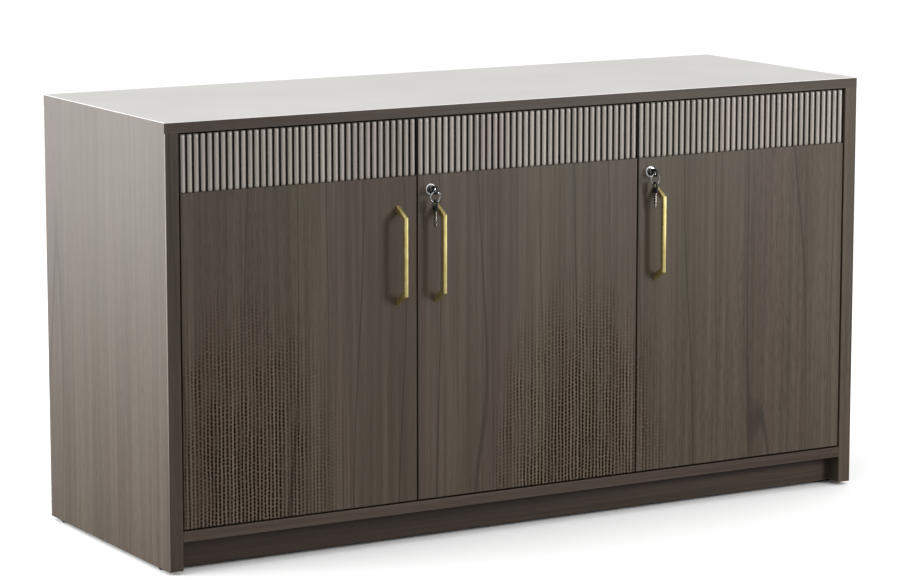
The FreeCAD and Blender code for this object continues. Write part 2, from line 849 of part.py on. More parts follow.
def hinge_arm(name, mount):
    """Gooseneck strap from the pivot, round the door's swinging edge, to the plate on the board."""
    seat = f"{mount} + plate_thickness"
    strap = doc.addObject("PartDesign::Body", name + "_strap")
    path = outline(
        strap,
        "XY_Plane",
        [
            ("pivot_inset", "pivot_depth - arm_thickness / 2"),
            ("arm_u + arm_thickness", "pivot_depth - arm_thickness / 2"),
            ("arm_u + arm_thickness", "frame_v + arm_thickness"),
            (f"{seat} + arm_thickness", "frame_v + arm_thickness"),
            (f"{seat} + arm_thickness", "frame_v + arm_reach"),
            (seat, "frame_v + arm_reach"),
            (seat, "frame_v"),
            ("arm_u", "frame_v"),
            ("arm_u", "pivot_depth + arm_thickness / 2"),
            ("pivot_inset", "pivot_depth + arm_thickness / 2"),
        ],
        name + "_path",
    )
    pad(strap, path, "arm_width", name + "_pad", both_ways=True)
    start = ("pivot_inset", "pivot_depth", "-arm_width / 2")
    eye = rod("z", *start, "eye_bore + 2 * eye_wall", "arm_width")
    return cut(fuse([strap, eye]), [rod("z", *start, "eye_bore", "arm_width")], name)


side_arm = hinge_arm("Side_arm", "-door_gap")
partition_arm = hinge_arm("Partition_arm", "partition_mount")

# Mounting plate: a strip under the arm with two screw wings, its seat at u = 0.
plate = cut(
    fuse(
        [
            box(
                "0",
                "frame_v + plate_start",
                "-arm_width / 2",
                "plate_thickness",
                "arm_reach - plate_start",
                "arm_width",
            ),
            box(
                "0",
                "wing_v - wing_length / 2",
                "-wing_span / 2",
                "plate_thickness",
                "wing_length",
                "wing_span",
            ),
        ]
    ),
    [
        rod(
            "x",
            "0",
            "wing_v",
            f"{half} * wing_hole_spacing",
            "wood_screw + 2 * fit",
            "plate_thickness",
        )
        for half in (-0.5, 0.5)
    ],
    "Plate",
)

# The doors: name, left edge, hinged edge, free edge, and the way from the hinged edge inwards.
DOORS = (
    ("left", "left_door_x", "left_door_x", "left_door_end", 1),
    ("middle", "middle_door_x", "middle_door_end", "middle_door_x", -1),
    ("right", "right_door_x", "right_door_end", "right_door_x", -1),
)
LOCKED = ("middle", "right")
HINGES = ("upper_hinge_z", "lower_hinge_z")
case_screw_x = "case_width / 2 - cup_head / 2"
case_screw_z = "case_height / 2 - cup_head / 2"

plates = []
arms = []
board_screws = []
for name, left_edge, hinge_edge, free_edge, inwards in DOORS:
    turn = Rotation() if inwards > 0 else RIGHT_EDGE
    mount = "partition_mount" if name == "middle" else "-door_gap"
    arm = partition_arm if name == "middle" else side_arm
    handle_x = f"{free_edge} - {inwards} * handle_from_edge"
    lock_x = f"{free_edge} - {inwards} * lock_from_edge"
    back = "door_y + door_thickness"
    cups = []
    pivots = []
    screws = []
    holes = [box(left_edge, "door_y", "door_top - flute_band", "door_width", "flute_strip", "flute_band")]
    for z in HINGES:
        arms.append(copy(arm, hinge_edge, "door_y", z, turn))
        plate_x = f"{hinge_edge} + {inwards} * ({mount})"
        plates.append(copy(plate, plate_x, "door_y", z, turn))
        cups.append(copy(cup, hinge_edge, "door_y", z, turn))
        pivot_x = f"{hinge_edge} + {inwards} * pivot_inset"
        pivots.append(copy(pivot, pivot_x, "door_y + pivot_depth", f"{z} - pivot_length / 2"))
        cup_x = f"{hinge_edge} + {inwards} * cup_u"
        ear_x = f"{hinge_edge} + {inwards} * ear_u"
        holes.append(rod("y", cup_x, "door_y + cup_floor - fit", z, "cup_diameter", "cup_depth + fit"))
        for half in (-0.5, 0.5):
            ear_z = f"{z} + {half} * ear_spacing"
            deep = "cup_screw_length - cup_flange + fit"
            holes.append(rod("-y", ear_x, back, ear_z, "cup_screw + 2 * fit", deep))
            screws.append(copy(cup_screw, ear_x, f"{back} + cup_flange", ear_z, ALONG["y"]))
            wing_z = f"{z} + {half} * wing_hole_spacing"
            head_x = f"{hinge_edge} + {inwards} * ({mount} + plate_thickness)"
            facing = ALONG["x"] if inwards > 0 else ALONG["-x"]
            board_screws.append(copy(wood_screw, head_x, "door_y + wing_v", wing_z, facing))
    for half in (-0.5, 0.5):
        screw_z = f"handle_z + {half} * handle_centres"
        holes.append(rod("y", handle_x, "door_y", screw_z, "handle_screw + 2 * fit", "door_thickness"))
        screws.append(copy(handle_screw, handle_x, back, screw_z, ALONG["y"]))
    if name in LOCKED:
        holes.append(rod("y", lock_x, "door_y", "lock_z", "barrel_diameter + 2 * fit", "door_thickness"))
        for half in (-1, 1):
            screw_x = f"{lock_x} + {half} * ({case_screw_x})"
            screw_z = f"lock_z + {half} * ({case_screw_z})"
            deep = "cup_screw_length - case_depth + fit"
            holes.append(rod("-y", screw_x, back, screw_z, "cup_screw + 2 * fit", deep))
            screws.append(copy(cup_screw, screw_x, "door_y + case_v", screw_z, ALONG["y"]))
    panel = box(left_edge, "door_y", "door_z", "door_width", "door_thickness", "door_height")
    node(f"{name}_door_panel", cut(panel, holes, f"{name}_door_panel"))
    group(f"{name}_door_flutes", [copy(flutes, left_edge, "door_y", "door_top - flute_band")])
    group(f"{name}_door_handle", [copy(handle, handle_x, "door_y", "handle_z")])
    group(f"{name}_door_hinge_cups", cups)
    group(f"{name}_door_hinge_pins", pivots)
    group(f"{name}_door_screws", screws)
group("hinge_plates", plates)
group("hinge_arms", arms)

# Strike plate on the partition: its slotted tab reaches forward to take the right-hand bolt.
strike = cut(
    box(
        "partition_end",
        "door_y + strike_v",
        "lock_z - strike_height / 2",
        "strike_thickness",
        "frame_v - strike_v + strike_reach",
        "strike_height",
    ),
    [
        box(
            "partition_end",
            "door_y + bolt_v - running",
            "lock_z - bolt_height / 2 - 2 * running",
            "strike_thickness",
            "bolt_thickness + 2 * running",
            "bolt_height + 4 * running",
        )
    ]
    + [
        rod(
            "x",
            "partition_end",
            "strike_hole_y",
            f"lock_z + {half} * strike_hole_spacing",
            "wood_screw + 2 * fit",
            "strike_thickness",
        )
        for half in (-0.5, 0.5)
    ],
    "strike_plate",
)
node("strike_plate", strike)
for half in (-0.5, 0.5):
    screw_z = f"lock_z + {half} * strike_hole_spacing"
    head_x = "partition_end + strike_thickness"
    board_screws.append(copy(wood_screw, head_x, "strike_hole_y", screw_z, ALONG["x"]))
group("board_screws", board_screws)

# Lock, made round its own axis: y runs back from the door's front face.
barrel = doc.addObject("PartDesign::Body", "Barrel")
barrel_profile = outline(
    barrel,
    "XY_Plane",
    [
        ("plug_diameter / 2 + running", "-lock_face_thickness"),
        ("lock_face / 2 - lock_face_thickness / 2", "-lock_face_thickness"),
        ("lock_face / 2", "-lock_face_thickness / 2"),
        ("lock_face / 2", "0"),
        ("barrel_diameter / 2", "0"),
        ("barrel_diameter / 2", "door_thickness"),
        ("plug_diameter / 2 + running", "door_thickness"),
    ],
    "Barrel_profile",
)
turned(barrel, barrel_profile, "Y_Axis")
case = cut(
    box(
        "-case_width / 2",
        "door_thickness",
        "-case_height / 2",
        "case_width",
        "case_depth",
        "case_height",
    ),
    [
        box(
            "-case_width / 2",
            "bolt_v - running",
            "-bolt_height / 2 - running",
            "bolt_start + bolt_length + running",
            "bolt_thickness + 2 * running",
            "bolt_height + 2 * running",
        ),
        rod("y", "0", "door_thickness", "0", "crank_diameter + 4 * running", "bolt_v - door_thickness"),
    ]
    + [
        rod(
            "y",
            f"{half} * ({case_screw_x})",
            "door_thickness",
            f"{half} * ({case_screw_z})",
            "cup_screw + 2 * fit",
            "case_depth",
        )
        for half in (-1, 1)
    ],
    "Case",
)
drive_length = "crank_thickness + bolt_thickness"
plug = cut(
    fuse(
        [
            rod("y", "0", "-plug_front", "0", "plug_diameter", "plug_front + crank_v"),
            rod("y", "0", "crank_v", "0", "crank_diameter", "crank_thickness"),
            rod("y", "crank_throw", "crank_v", "-crank_throw", "drive_pin", drive_length),
        ]
    ),
    [
        box(
            "-key_thickness / 2 - fit",
            "-plug_front",
            "-key_blade_width / 2 - fit",
            "key_thickness + 2 * fit",
            "key_insert + fit",
            "key_blade_width + 2 * fit",
        )
    ],
    "Plug",
)
lock_bolt = cut(
    box("bolt_x", "bolt_v", "-bolt_height / 2", "bolt_length", "bolt_thickness", "bolt_height"),
    [
        box(
            "crank_throw - drive_slot / 2",
            "bolt_v",
            "-crank_reach - drive_slot / 2",
            "drive_slot",
            "bolt_thickness",
            "crank_reach - crank_throw + drive_slot",
        )
    ],
    "Lock_bolt",
)

# Keys: a flat blade with a moulded head, the head made round its ring hole with its end towards -Y.
key_blade = doc.addObject("PartDesign::Body", "Key_blade")
key_tip = "key_insert - plug_front"
key_outline = outline(
    key_blade,
    "YZ_Plane",
    [
        ("-key_head_start", "-key_blade_width / 2"),
        (f"{key_tip} - key_blade_width", "-key_blade_width / 2"),
        (key_tip, "0"),
        (f"{key_tip} - key_blade_width / 2", "key_blade_width / 2"),
        ("-key_head_start", "key_blade_width / 2"),
    ],
    "Key_outline",
)
pad(key_blade, key_outline, "key_thickness", "Key_pad", both_ways=True)
head_plate = doc.addObject("PartDesign::Body", "Key_head_plate")
head_outline = outline(
    head_plate,
    "YZ_Plane",
    [
        ("-key_hole_inset", "-key_head_width / 4"),
        ("-key_hole_inset + key_head_width / 4", "-key_head_width / 2"),
        ("key_head_length - key_hole_inset", "-key_head_width / 2"),
        ("key_head_length - key_hole_inset", "key_head_width / 2"),
        ("-key_hole_inset + key_head_width / 4", "key_head_width / 2"),
        ("-key_hole_inset", "key_head_width / 4"),
    ],
    "Key_head_outline",
)
head_pad = pad(head_plate, head_outline, "key_head_thickness", "Key_head_pad", both_ways=True)
head_edges = head_plate.newObject("PartDesign::Chamfer", "Key_head_edges")
head_edges.Base = (head_pad, outline_edges(head_pad))
bind(head_edges, Size="key_head_round")
half_head = "key_head_thickness / 2"
key_head = cut(
    head_plate,
    [
        rod("x", f"-({half_head})", "0", "0", "key_hole", "key_head_thickness"),
        bevel("x", f"{half_head} - key_head_round", "key_hole", "key_head_round"),
        bevel("-x", f"-({half_head}) + key_head_round", "key_hole", "key_head_round"),
    ],
    "Key_head",
)
spare_blade = doc.addObject("PartDesign::Body", "Spare_blade")
spare_outline = outline(
    spare_blade,
    "YZ_Plane",
    [
        ("-key_blade_width / 2", "0"),
        ("key_blade_width / 2", "0"),
        ("key_blade_width / 2", "-key_blade_free + key_blade_width"),
        ("0", "-key_blade_free"),
        ("-key_blade_width / 2", "-key_blade_free + key_blade_width / 2"),
    ],
    "Spare_outline",
)
pad(spare_blade, spare_outline, "key_thickness", "Spare_pad", both_ways=True)
ring = doc.addObject("Part::Torus", "Ring")
bind(ring, Radius1="ring_radius", Radius2="ring_wire / 2")

for name, left_edge, hinge_edge, free_edge, inwards in DOORS:
    if name not in LOCKED:
        continue
    lock = (f"{free_edge} - {inwards} * lock_from_edge", "door_y", "lock_z")
    hook = (lock[0], "door_y + ring_y")
    group(f"{name}_lock_barrel", [copy(barrel, *lock)])
    group(f"{name}_lock_case", [copy(case, *lock)])
    group(f"{name}_lock_plug", [copy(plug, *lock)])
    group(f"{name}_lock_bolt", [copy(lock_bolt, *lock)])
    group(f"{name}_key_blade", [copy(key_blade, *lock)])
    group(f"{name}_key_head", [copy(key_head, *hook, "lock_z")])
    group(f"{name}_key_ring", [copy(ring, *hook, "lock_z + ring_z", ALONG["y"])])
    group(f"{name}_spare_head", [copy(key_head, *hook, "lock_z + spare_hole_z", ALONG["y"])])
    group(f"{name}_spare_blade", [copy(spare_blade, *hook, "lock_z + spare_blade_z")])

# Barrel bolt inside the left door's free edge: a plate with two guides, and a rod with a knob.
guide_x = "-slide_guide_width / 2"
slide_guide = cut(
    fuse(
        [
            box(
                "-slide_plate_width / 2",
                "door_thickness",
                "-slide_plate_length",
                "slide_plate_width",
                "slide_plate_thickness",
                "slide_plate_length",
            )
        ]
        + [
            box(
                guide_x,
                "door_thickness",
                low,
                "slide_guide_width",
                "slide_guide_depth",
                "slide_guide_length",
            )
            for low in ("-slide_guide_length", "-slide_plate_length")
        ]
    ),
    [rod("z", "0", "slide_v", "-slide_plate_length", "slide_rod + 2 * running", "slide_plate_length")],
    "Slide_guide",
)
knob_z = "-(slide_plate_length + slide_travel) / 2"
slide_rod = fuse(
    [
        rod("z", "0", "slide_v", "-slide_rod_length", "slide_rod", "slide_rod_length"),
        rod("y", "0", "slide_v", knob_z, "slide_knob_diameter", "slide_knob_length"),
    ],
    "Slide_rod",
)
group("left_door_bolt_guide", [copy(slide_guide, "slide_x", "door_y", "slide_top")])
group("left_door_bolt_rod", [copy(slide_rod, "slide_x", "door_y", "slide_top")])

# Every object and every sub-part is sound before anything is written.
doc.recompute()
for piece in doc.Objects:
    if "Invalid" in piece.State or "Error" in piece.State:
        raise RuntimeError(f"{piece.Label} failed: {piece.State}")
for label, piece in nodes.items():
    if piece.Shape.isNull() or not piece.Shape.isValid() or not piece.Shape.Solids:
        raise RuntimeError(f"{label} has no sound solid")
os.makedirs("parts", exist_ok=True)
for label, piece in nodes.items():
    piece.Shape.exportStep(f"parts/{label}.step")
print(f"{len(nodes)} sub-parts, {sum(len(piece.Shape.Solids) for piece in nodes.values())} solids")
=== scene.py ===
import json
import math

import bmesh
import bpy
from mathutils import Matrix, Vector

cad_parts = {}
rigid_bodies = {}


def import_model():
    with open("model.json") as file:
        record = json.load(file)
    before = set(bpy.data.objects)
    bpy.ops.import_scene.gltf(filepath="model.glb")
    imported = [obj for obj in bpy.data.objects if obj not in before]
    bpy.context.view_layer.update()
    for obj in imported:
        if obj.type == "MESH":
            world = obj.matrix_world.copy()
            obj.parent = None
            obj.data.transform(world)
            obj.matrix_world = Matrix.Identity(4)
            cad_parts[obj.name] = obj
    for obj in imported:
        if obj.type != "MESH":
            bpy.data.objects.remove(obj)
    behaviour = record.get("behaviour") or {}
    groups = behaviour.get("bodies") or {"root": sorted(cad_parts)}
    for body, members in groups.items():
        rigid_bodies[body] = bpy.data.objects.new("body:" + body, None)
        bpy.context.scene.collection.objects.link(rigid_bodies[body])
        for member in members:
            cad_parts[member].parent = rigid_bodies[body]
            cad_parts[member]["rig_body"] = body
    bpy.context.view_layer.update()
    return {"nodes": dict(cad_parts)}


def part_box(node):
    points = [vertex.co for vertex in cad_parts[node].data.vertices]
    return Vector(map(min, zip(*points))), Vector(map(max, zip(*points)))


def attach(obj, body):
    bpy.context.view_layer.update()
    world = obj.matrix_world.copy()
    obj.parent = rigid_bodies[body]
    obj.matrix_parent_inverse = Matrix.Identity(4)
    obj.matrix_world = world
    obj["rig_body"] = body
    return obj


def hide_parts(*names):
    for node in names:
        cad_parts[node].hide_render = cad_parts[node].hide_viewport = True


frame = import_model()

# Side panels: 25 mm chipboard faced on both sides with printed melamine and edged with tape in a like
# print, whose arrises are scraped round after it is pressed on. They stand on the glides and carry the rest.
BOARD_ARRIS = 0.0013
MELAMINE_ROUGHNESS = 0.46
MELAMINE_SHEEN = 0.3
NOISE_MIDDLE = 0.5
FIBRE_SHARE = 0.45
BAND_SHARE = 0.5
LINE_LENGTH = 2.2
FURROW_WIDTH = 0.0070
PIT_SPACING = 0.0064
FURROW_WANDER = 0.5
RIDGE_PLACE = 0.4
TROUGH_PHASE = 2.5
# A wave texture repeats every 0.314 of a unit.
WAVE_REPEAT = 0.314


def linear(colour):
    """An sRGB hex colour as the linear RGBA that a shader takes."""
    shares = [int(colour[start : start + 2], 16) / 255 for start in (1, 3, 5)]
    return [s / 12.92 if s <= 0.04045 else ((s + 0.055) / 1.055) ** 2.4 for s in shares] + [1.0]


def feed(tree, node, inputs):
    """Links or sets a node's inputs by name or number."""
    for key, value in inputs.items():
        if isinstance(value, bpy.types.NodeSocket):
            tree.links.new(value, node.inputs[key])
        else:
            node.inputs[key].default_value = value


def add(tree, kind, inputs=None, **settings):
    """Adds a node with its settings, and links or sets its inputs."""
    made = tree.nodes.new(kind)
    for name, value in settings.items():
        setattr(made, name, value)
    feed(tree, made, inputs or {})
    return made


def ramp_stops(ramp, stops):
    """Sets a colour ramp's stops from pairs of place and sRGB hex colour."""
    band = ramp.color_ramp
    while len(band.elements) < len(stops):
        band.elements.new(1.0)
    for element, (place, colour) in zip(band.elements, stops):
        element.position = place
        element.color = linear(colour)


def begun_finish(name):
    """A new material with its node tree, and a point's place in the piece's own frame."""
    material = bpy.data.materials.new(name)
    material.use_nodes = True
    place = add(material.node_tree, "ShaderNodeTexCoord").outputs["Object"]
    return material, material.node_tree, place


def wood_grain(name, turn, tones, line, roughness=MELAMINE_ROUGHNESS, line_gap=0.075, open_pored=()):
    """Straight-grained wood, real or printed on melamine or foil, the grain laid along Z by the turn. It has
    fibres about 1 mm wide in streaks of 9 mm, in bands of 70 mm whose hue drifts, and thin dark lines. Real
    pores are 0.3 mm wide, too fine to show, so they are drawn as dashes of 2 by 22 mm, and as rows of pits
    with pale lines between them in the places that open_pored gives by centre and reach."""
    material, tree, place = begun_finish(name)
    along = add(tree, "ShaderNodeMapping", {"Vector": place, "Rotation": turn}).outputs[0]

    fields = {}
    for field, width, length, detail in (
        ("bands", 0.070, 1.40, 1.0),
        ("hues", 0.110, 1.60, 1.0),
        ("streaks", 0.009, 0.70, 4.0),
        ("fibres", 0.0011, 0.060, 2.0),
        ("pores", 0.0020, 0.022, 0.0),
        ("patches", 0.300, 0.450, 0.0),
        ("blotches", 0.022, 0.070, 1.0),
    ):
        size = {"Vector": along, "Scale": (1 / width, 1 / width, 1 / length)}
        scaled = add(tree, "ShaderNodeMapping", size).outputs[0]
        noise = add(tree, "ShaderNodeTexNoise", {"Vector": scaled, "Scale": 1.0, "Detail": detail})
        fields[field] = noise.outputs["Fac"]
    across = WAVE_REPEAT / line_gap
    size = {"Vector": along, "Scale": (across, across, 1 / LINE_LENGTH)}
    scaled = add(tree, "ShaderNodeMapping", size).outputs[0]
    figure = {"Vector": scaled, "Scale": 1.0, "Distortion": 9.0, "Detail": 1.0, "Detail Scale": 1.4}
    waves = add(tree, "ShaderNodeTexWave", figure).outputs["Fac"]

    centred = {0: fields["fibres"], 1: NOISE_MIDDLE}
    fine = add(tree, "ShaderNodeMath", centred, operation="SUBTRACT").outputs[0]
    mixed = {0: fine, 1: FIBRE_SHARE, 2: fields["streaks"]}
    grain = add(tree, "ShaderNodeMath", mixed, operation="MULTIPLY_ADD").outputs[0]
    mixed = {0: fields["bands"], 1: BAND_SHARE, 2: grain}
    shade = add(tree, "ShaderNodeMath", mixed, operation="MULTIPLY_ADD").outputs[0]
    tone = add(tree, "ShaderNodeValToRGB", {"Fac": shade})
    ramp_stops(tone, tones)
    turned = {"Value": fields["hues"], "To Min": 0.452, "To Max": 0.545}
    drift = add(tree, "ShaderNodeMapRange", turned).outputs[0]
    drifted = {"Color": tone.outputs["Color"], "Hue": drift}
    hued = add(tree, "ShaderNodeHueSaturation", drifted).outputs[0]
    sheen = MELAMINE_SHEEN
    if open_pored:
        share = 0.0
        for centre, reach in open_pored:
            spot = {"Vector": place, "Location": centre, "Scale": reach}
            offset = add(tree, "ShaderNodeMapping", spot, vector_type="TEXTURE").outputs[0]
            ball = add(tree, "ShaderNodeTexGradient", {"Vector": offset}, gradient_type="SPHERICAL")
            share = add(tree, "ShaderNodeMath", {0: ball.outputs["Fac"], 1: share}).outputs[0]
        patchy = {0: share, 1: fields["blotches"]}
        uneven = add(tree, "ShaderNodeMath", patchy, operation="MULTIPLY").outputs[0]
        fading = {"Value": uneven, "From Min": 0.05, "From Max": 0.37}
        shown = add(tree, "ShaderNodeMapRange", fading).outputs[0]
        # A unit is one furrow across, or one pit to the next along the grain. Each furrow starts its pits
        # at a height of its own.
        units = {"Vector": along, "Scale": (1 / FURROW_WIDTH, 1.0, 1 / PIT_SPACING)}
        counted = add(tree, "ShaderNodeMapping", units).outputs[0]
        parts = add(tree, "ShaderNodeSeparateXYZ", {0: counted}).outputs
        wander = {0: fields["blotches"], 1: FURROW_WANDER, 2: parts[0]}
        run = add(tree, "ShaderNodeMath", wander, operation="MULTIPLY_ADD").outputs[0]
        furrow = add(tree, "ShaderNodeMath", {0: run, 1: RIDGE_PLACE}).outputs[0]
        number = add(tree, "ShaderNodeMath", {0: furrow}, operation="FLOOR").outputs[0]
        start = add(tree, "ShaderNodeTexWhiteNoise", {"W": number}, noise_dimensions="1D").outputs["Value"]
        raised = add(tree, "ShaderNodeMath", {0: parts[2], 1: start}).outputs[0]
        cells = add(tree, "ShaderNodeCombineXYZ", {0: run, 1: raised}).outputs[0]
        trough = {"Vector": cells, "Scale": WAVE_REPEAT, "Phase Offset": TROUGH_PHASE}
        troughs = add(tree, "ShaderNodeTexWave", trough).outputs["Fac"]
        point = {"Vector": cells, "Scale": 1.0, "Randomness": 0.2}
        near = add(tree, "ShaderNodeTexVoronoi", point, voronoi_dimensions="2D").outputs["Distance"]
        deep = {"Value": near, "From Min": 0.52, "From Max": 0.26, "To Min": 0.22}
        depth = add(tree, "ShaderNodeMapRange", deep).outputs[0]
        dark = add(tree, "ShaderNodeMath", {0: troughs, 1: depth}, operation="MULTIPLY").outputs[0]
        shaded = {"Value": dark, "From Min": 0.08, "From Max": 0.56, "To Min": 1.70, "To Max": 0.15}
        value = add(tree, "ShaderNodeMapRange", shaded).outputs[0]
        pitted = {"Fac": shown, "Value": value, "Color": hued}
        hued = add(tree, "ShaderNodeHueSaturation", pitted).outputs[0]
        # A pit mirrors nothing.
        sunk = add(tree, "ShaderNodeMath", {0: dark, 1: shown}, operation="MULTIPLY").outputs[0]
        dulled = {"Value": sunk, "From Max": 0.5, "To Min": MELAMINE_SHEEN, "To Max": 0.0}
        sheen = add(tree, "ShaderNodeMapRange", dulled).outputs[0]
    thin = add(tree, "ShaderNodeMapRange", {"Value": waves, "From Min": 0.994, "To Max": 0.6}).outputs[0]
    drawn = {"Factor": thin, "A": hued, "B": linear(line)}
    lined = add(tree, "ShaderNodeMix", drawn, data_type="RGBA").outputs["Result"]
    dashed = {"Value": fields["pores"], "From Min": 0.54, "From Max": 0.68}
    dash = add(tree, "ShaderNodeMapRange", dashed).outputs[0]
    dense = {"Value": fields["patches"], "From Min": 0.42, "From Max": 0.62, "To Min": 0.05, "To Max": 0.30}
    patch = add(tree, "ShaderNodeMapRange", dense).outputs[0]
    pore = add(tree, "ShaderNodeMath", {0: dash, 1: patch}, operation="MULTIPLY").outputs[0]
    drawn = {"Factor": pore, "A": lined, "B": linear(line)}
    printed = add(tree, "ShaderNodeMix", drawn, data_type="RGBA").outputs["Result"]

    spread = {"Value": fields["streaks"], "To Min": roughness - 0.06, "To Max": roughness + 0.06}
    gloss = add(tree, "ShaderNodeMapRange", spread).outputs[0]
    emboss = add(tree, "ShaderNodeMath", {0: grain, 1: pore}, operation="SUBTRACT").outputs[0]
    pressed = {"Strength": 0.2, "Distance": 0.0002, "Height": emboss}
    relief = add(tree, "ShaderNodeBump", pressed).outputs[0]
    looks = {"Base Color": printed, "Roughness": gloss, "Normal": relief, "Specular IOR Level": sheen}
    feed(tree, tree.nodes["Principled BSDF"], looks)
    return material


UPRIGHT = (0.0, 0.0, 0.0)
DARK_WOOD = ((0.55, "#443a2f"), (0.75, "#4d4338"), (0.95, "#574d42"))
DARK_LINE = "#2a211a"
upright_wood = wood_grain("dark wood melamine, upright grain", UPRIGHT, DARK_WOOD, DARK_LINE)

# Two corners this near are one, and a corner this near to a piece's box lies on it.
SAME_POINT = 1e-6
ON_BOX = 1e-5
FLAT_ANGLE = math.radians(0.5)
SHARP_ANGLE = math.radians(25)


def stand_for(name, piece):
    """Puts a finished piece in a CAD node's place, on its body, and hides the node."""
    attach(piece, frame["nodes"][name]["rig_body"])
    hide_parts(name)


def made_plain(piece):
    """Turns a piece's modifiers into its mesh."""
    bpy.context.view_layer.update()
    seen = piece.evaluated_get(bpy.context.evaluated_depsgraph_get())
    mesh = bpy.data.meshes.new_from_object(seen)
    piece.modifiers.clear()
    piece.data = mesh


def eased(name, material, radius, outer_only=True, steps=3, butted=None):
    """A copy of a CAD node with its arrises rounded: those of its outer box, or every sharp one. Butted is
    the face, as axis and end, that meets another board and stays sharp all round."""
    mesh = frame["nodes"][name].data.copy()
    work = bmesh.new()
    work.from_mesh(mesh)
    bmesh.ops.remove_doubles(work, verts=work.verts, dist=SAME_POINT)
    bmesh.ops.dissolve_limit(work, angle_limit=FLAT_ANGLE, verts=work.verts, edges=work.edges)
    low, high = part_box(name)
    weight = work.edges.layers.float.new("bevel_weight_edge")
    for edge in work.edges:
        faces = [
            (axis, end)
            for axis in range(3)
            for end, side in enumerate((low, high))
            if all(abs(corner.co[axis] - side[axis]) < ON_BOX for corner in edge.verts)
        ]
        edge[weight] = 1.0 if len(faces) >= 2 and butted not in faces else 0.0
    work.to_mesh(mesh)
    work.free()
    mesh.materials.clear()
    mesh.materials.append(material)
    if outer_only:
        mesh.shade_flat()
    else:
        mesh.shade_smooth()
    piece = bpy.data.objects.new(name + "_eased", mesh)
    bpy.context.scene.collection.objects.link(piece)
    arris = piece.modifiers.new("Arris", "BEVEL")
    arris.limit_method = "WEIGHT" if outer_only else "ANGLE"
    arris.angle_limit = SHARP_ANGLE
    arris.width = radius
    arris.segments = steps
    arris.use_clamp_overlap = True
    arris.harden_normals = not outer_only
    made_plain(piece)
    stand_for(name, piece)
    return piece


# Painted highlight: a pale copy of the wood print for the left board's front left arris, where the light
# glints.
ARRIS_HIGHLIGHT_TONES = ((0.55, "#b9b0a6"), (0.75, "#c4bbb1"), (0.95, "#cec6bd"))
ARRIS_HIGHLIGHT_LINE = "#a89f95"
arris_highlight = wood_grain("painted highlight on melamine arris", UPRIGHT, ARRIS_HIGHLIGHT_TONES, ARRIS_HIGHLIGHT_LINE, roughness=0.40)
# The painted highlight is pale near the top and fades into the print lower down, where the light on the side
# falls off.
PALE_ABOVE = 0.60
PALE_VALUE = 0.85
HIGHLIGHT_FADED_BELOW = 0.10
FADED_HIGHLIGHT_VALUE = 0.25
arris_tree = arris_highlight.node_tree
arris_shader = arris_tree.nodes["Principled BSDF"]
arris_highlight_colour = arris_shader.inputs["Base Color"].links[0].from_socket
arris_place = add(arris_tree, "ShaderNodeTexCoord").outputs["Object"]
arris_height = add(arris_tree, "ShaderNodeSeparateXYZ", {0: arris_place}).outputs[2]
paling = {
    "Value": arris_height,
    "From Min": HIGHLIGHT_FADED_BELOW,
    "From Max": PALE_ABOVE,
    "To Min": FADED_HIGHLIGHT_VALUE,
    "To Max": PALE_VALUE,
}
pale = add(arris_tree, "ShaderNodeMapRange", paling).outputs[0]
faded = add(arris_tree, "ShaderNodeHueSaturation", {"Value": pale, "Color": arris_highlight_colour}).outputs[0]
feed(arris_tree, arris_shader, {"Base Color": faded})
# The left board's front edge is printed slightly darker than its faces, as painted shade where the light on
# the front falls off to the left.
SHADED_EDGE_WOOD = ((0.55, "#382e24"), (0.75, "#41372d"), (0.95, "#4b4137"))
shaded_edge_tape = wood_grain("dark wood edge tape with painted shade", UPRIGHT, SHADED_EDGE_WOOD, DARK_LINE)
UNDER_TOP = (2, 1)
TILTED = 0.1
SQUARE_ON = 0.9
left_side = eased("left_side_panel", upright_wood, BOARD_ARRIS, butted=UNDER_TOP)
left_side.data.materials.append(arris_highlight)
left_side.data.materials.append(shaded_edge_tape)
# The bevel faces of the front left arris take the painted highlight.
for face in left_side.data.polygons:
    if face.normal.x < -TILTED and face.normal.y < -TILTED and abs(face.normal.z) < TILTED:
        face.material_index = 1
    # The front edge takes the painted shade.
    elif face.normal.y < -SQUARE_ON:
        face.material_index = 2
eased("right_side_panel", upright_wood, BOARD_ARRIS, butted=UNDER_TOP)

# Top: a 17 mm board over the sides, edged in the same dark wood, under a 1 mm sheet of laminate. The
# sheet's pale grey is painted sheen, the bright reflection of the surround that the top shows. It is glued
# on and trimmed, and its edge is painted near white as a highlight, a thin light line along the front.
TAPE_ARRIS = 0.0006
SHEET_ARRIS = 0.0007
LEVEL = (0.0, -math.pi / 2, 0.0)
LEVEL_WOOD = ((0.55, "#3e342a"), (0.75, "#473d32"), (0.95, "#51473c"))
level_wood = wood_grain("dark wood melamine, level grain", LEVEL, LEVEL_WOOD, DARK_LINE, line_gap=0.03)
OVER_SIDES = (2, 0)
top_board = eased("top_panel", level_wood, TAPE_ARRIS, butted=OVER_SIDES)
top_board.data.materials.append(upright_wood)
for face in top_board.data.polygons:
    if abs(face.normal.x) > SQUARE_ON:
        face.material_index = 1


def painted_pale_laminate(name, dull, bright):
    """High-pressure laminate with a fine satin texture, in a tone that drifts a little over 250 mm."""
    material, tree, place = begun_finish(name)
    drift = add(tree, "ShaderNodeTexNoise", {"Vector": place, "Scale": 1 / 0.25, "Detail": 2.0})
    tone = add(tree, "ShaderNodeValToRGB", {"Fac": drift.outputs["Fac"]})
    ramp_stops(tone, ((0.3, dull), (0.7, bright)))
    grit = add(tree, "ShaderNodeTexNoise", {"Vector": place, "Scale": 1 / 0.0012, "Detail": 1.0})
    pressed = {"Strength": 0.15, "Distance": 0.0001, "Height": grit.outputs["Fac"]}
    relief = add(tree, "ShaderNodeBump", pressed).outputs[0]
    looks = {"Base Color": tone.outputs["Color"], "Roughness": 0.52, "Normal": relief}
    feed(tree, tree.nodes["Principled BSDF"], looks)
    return material
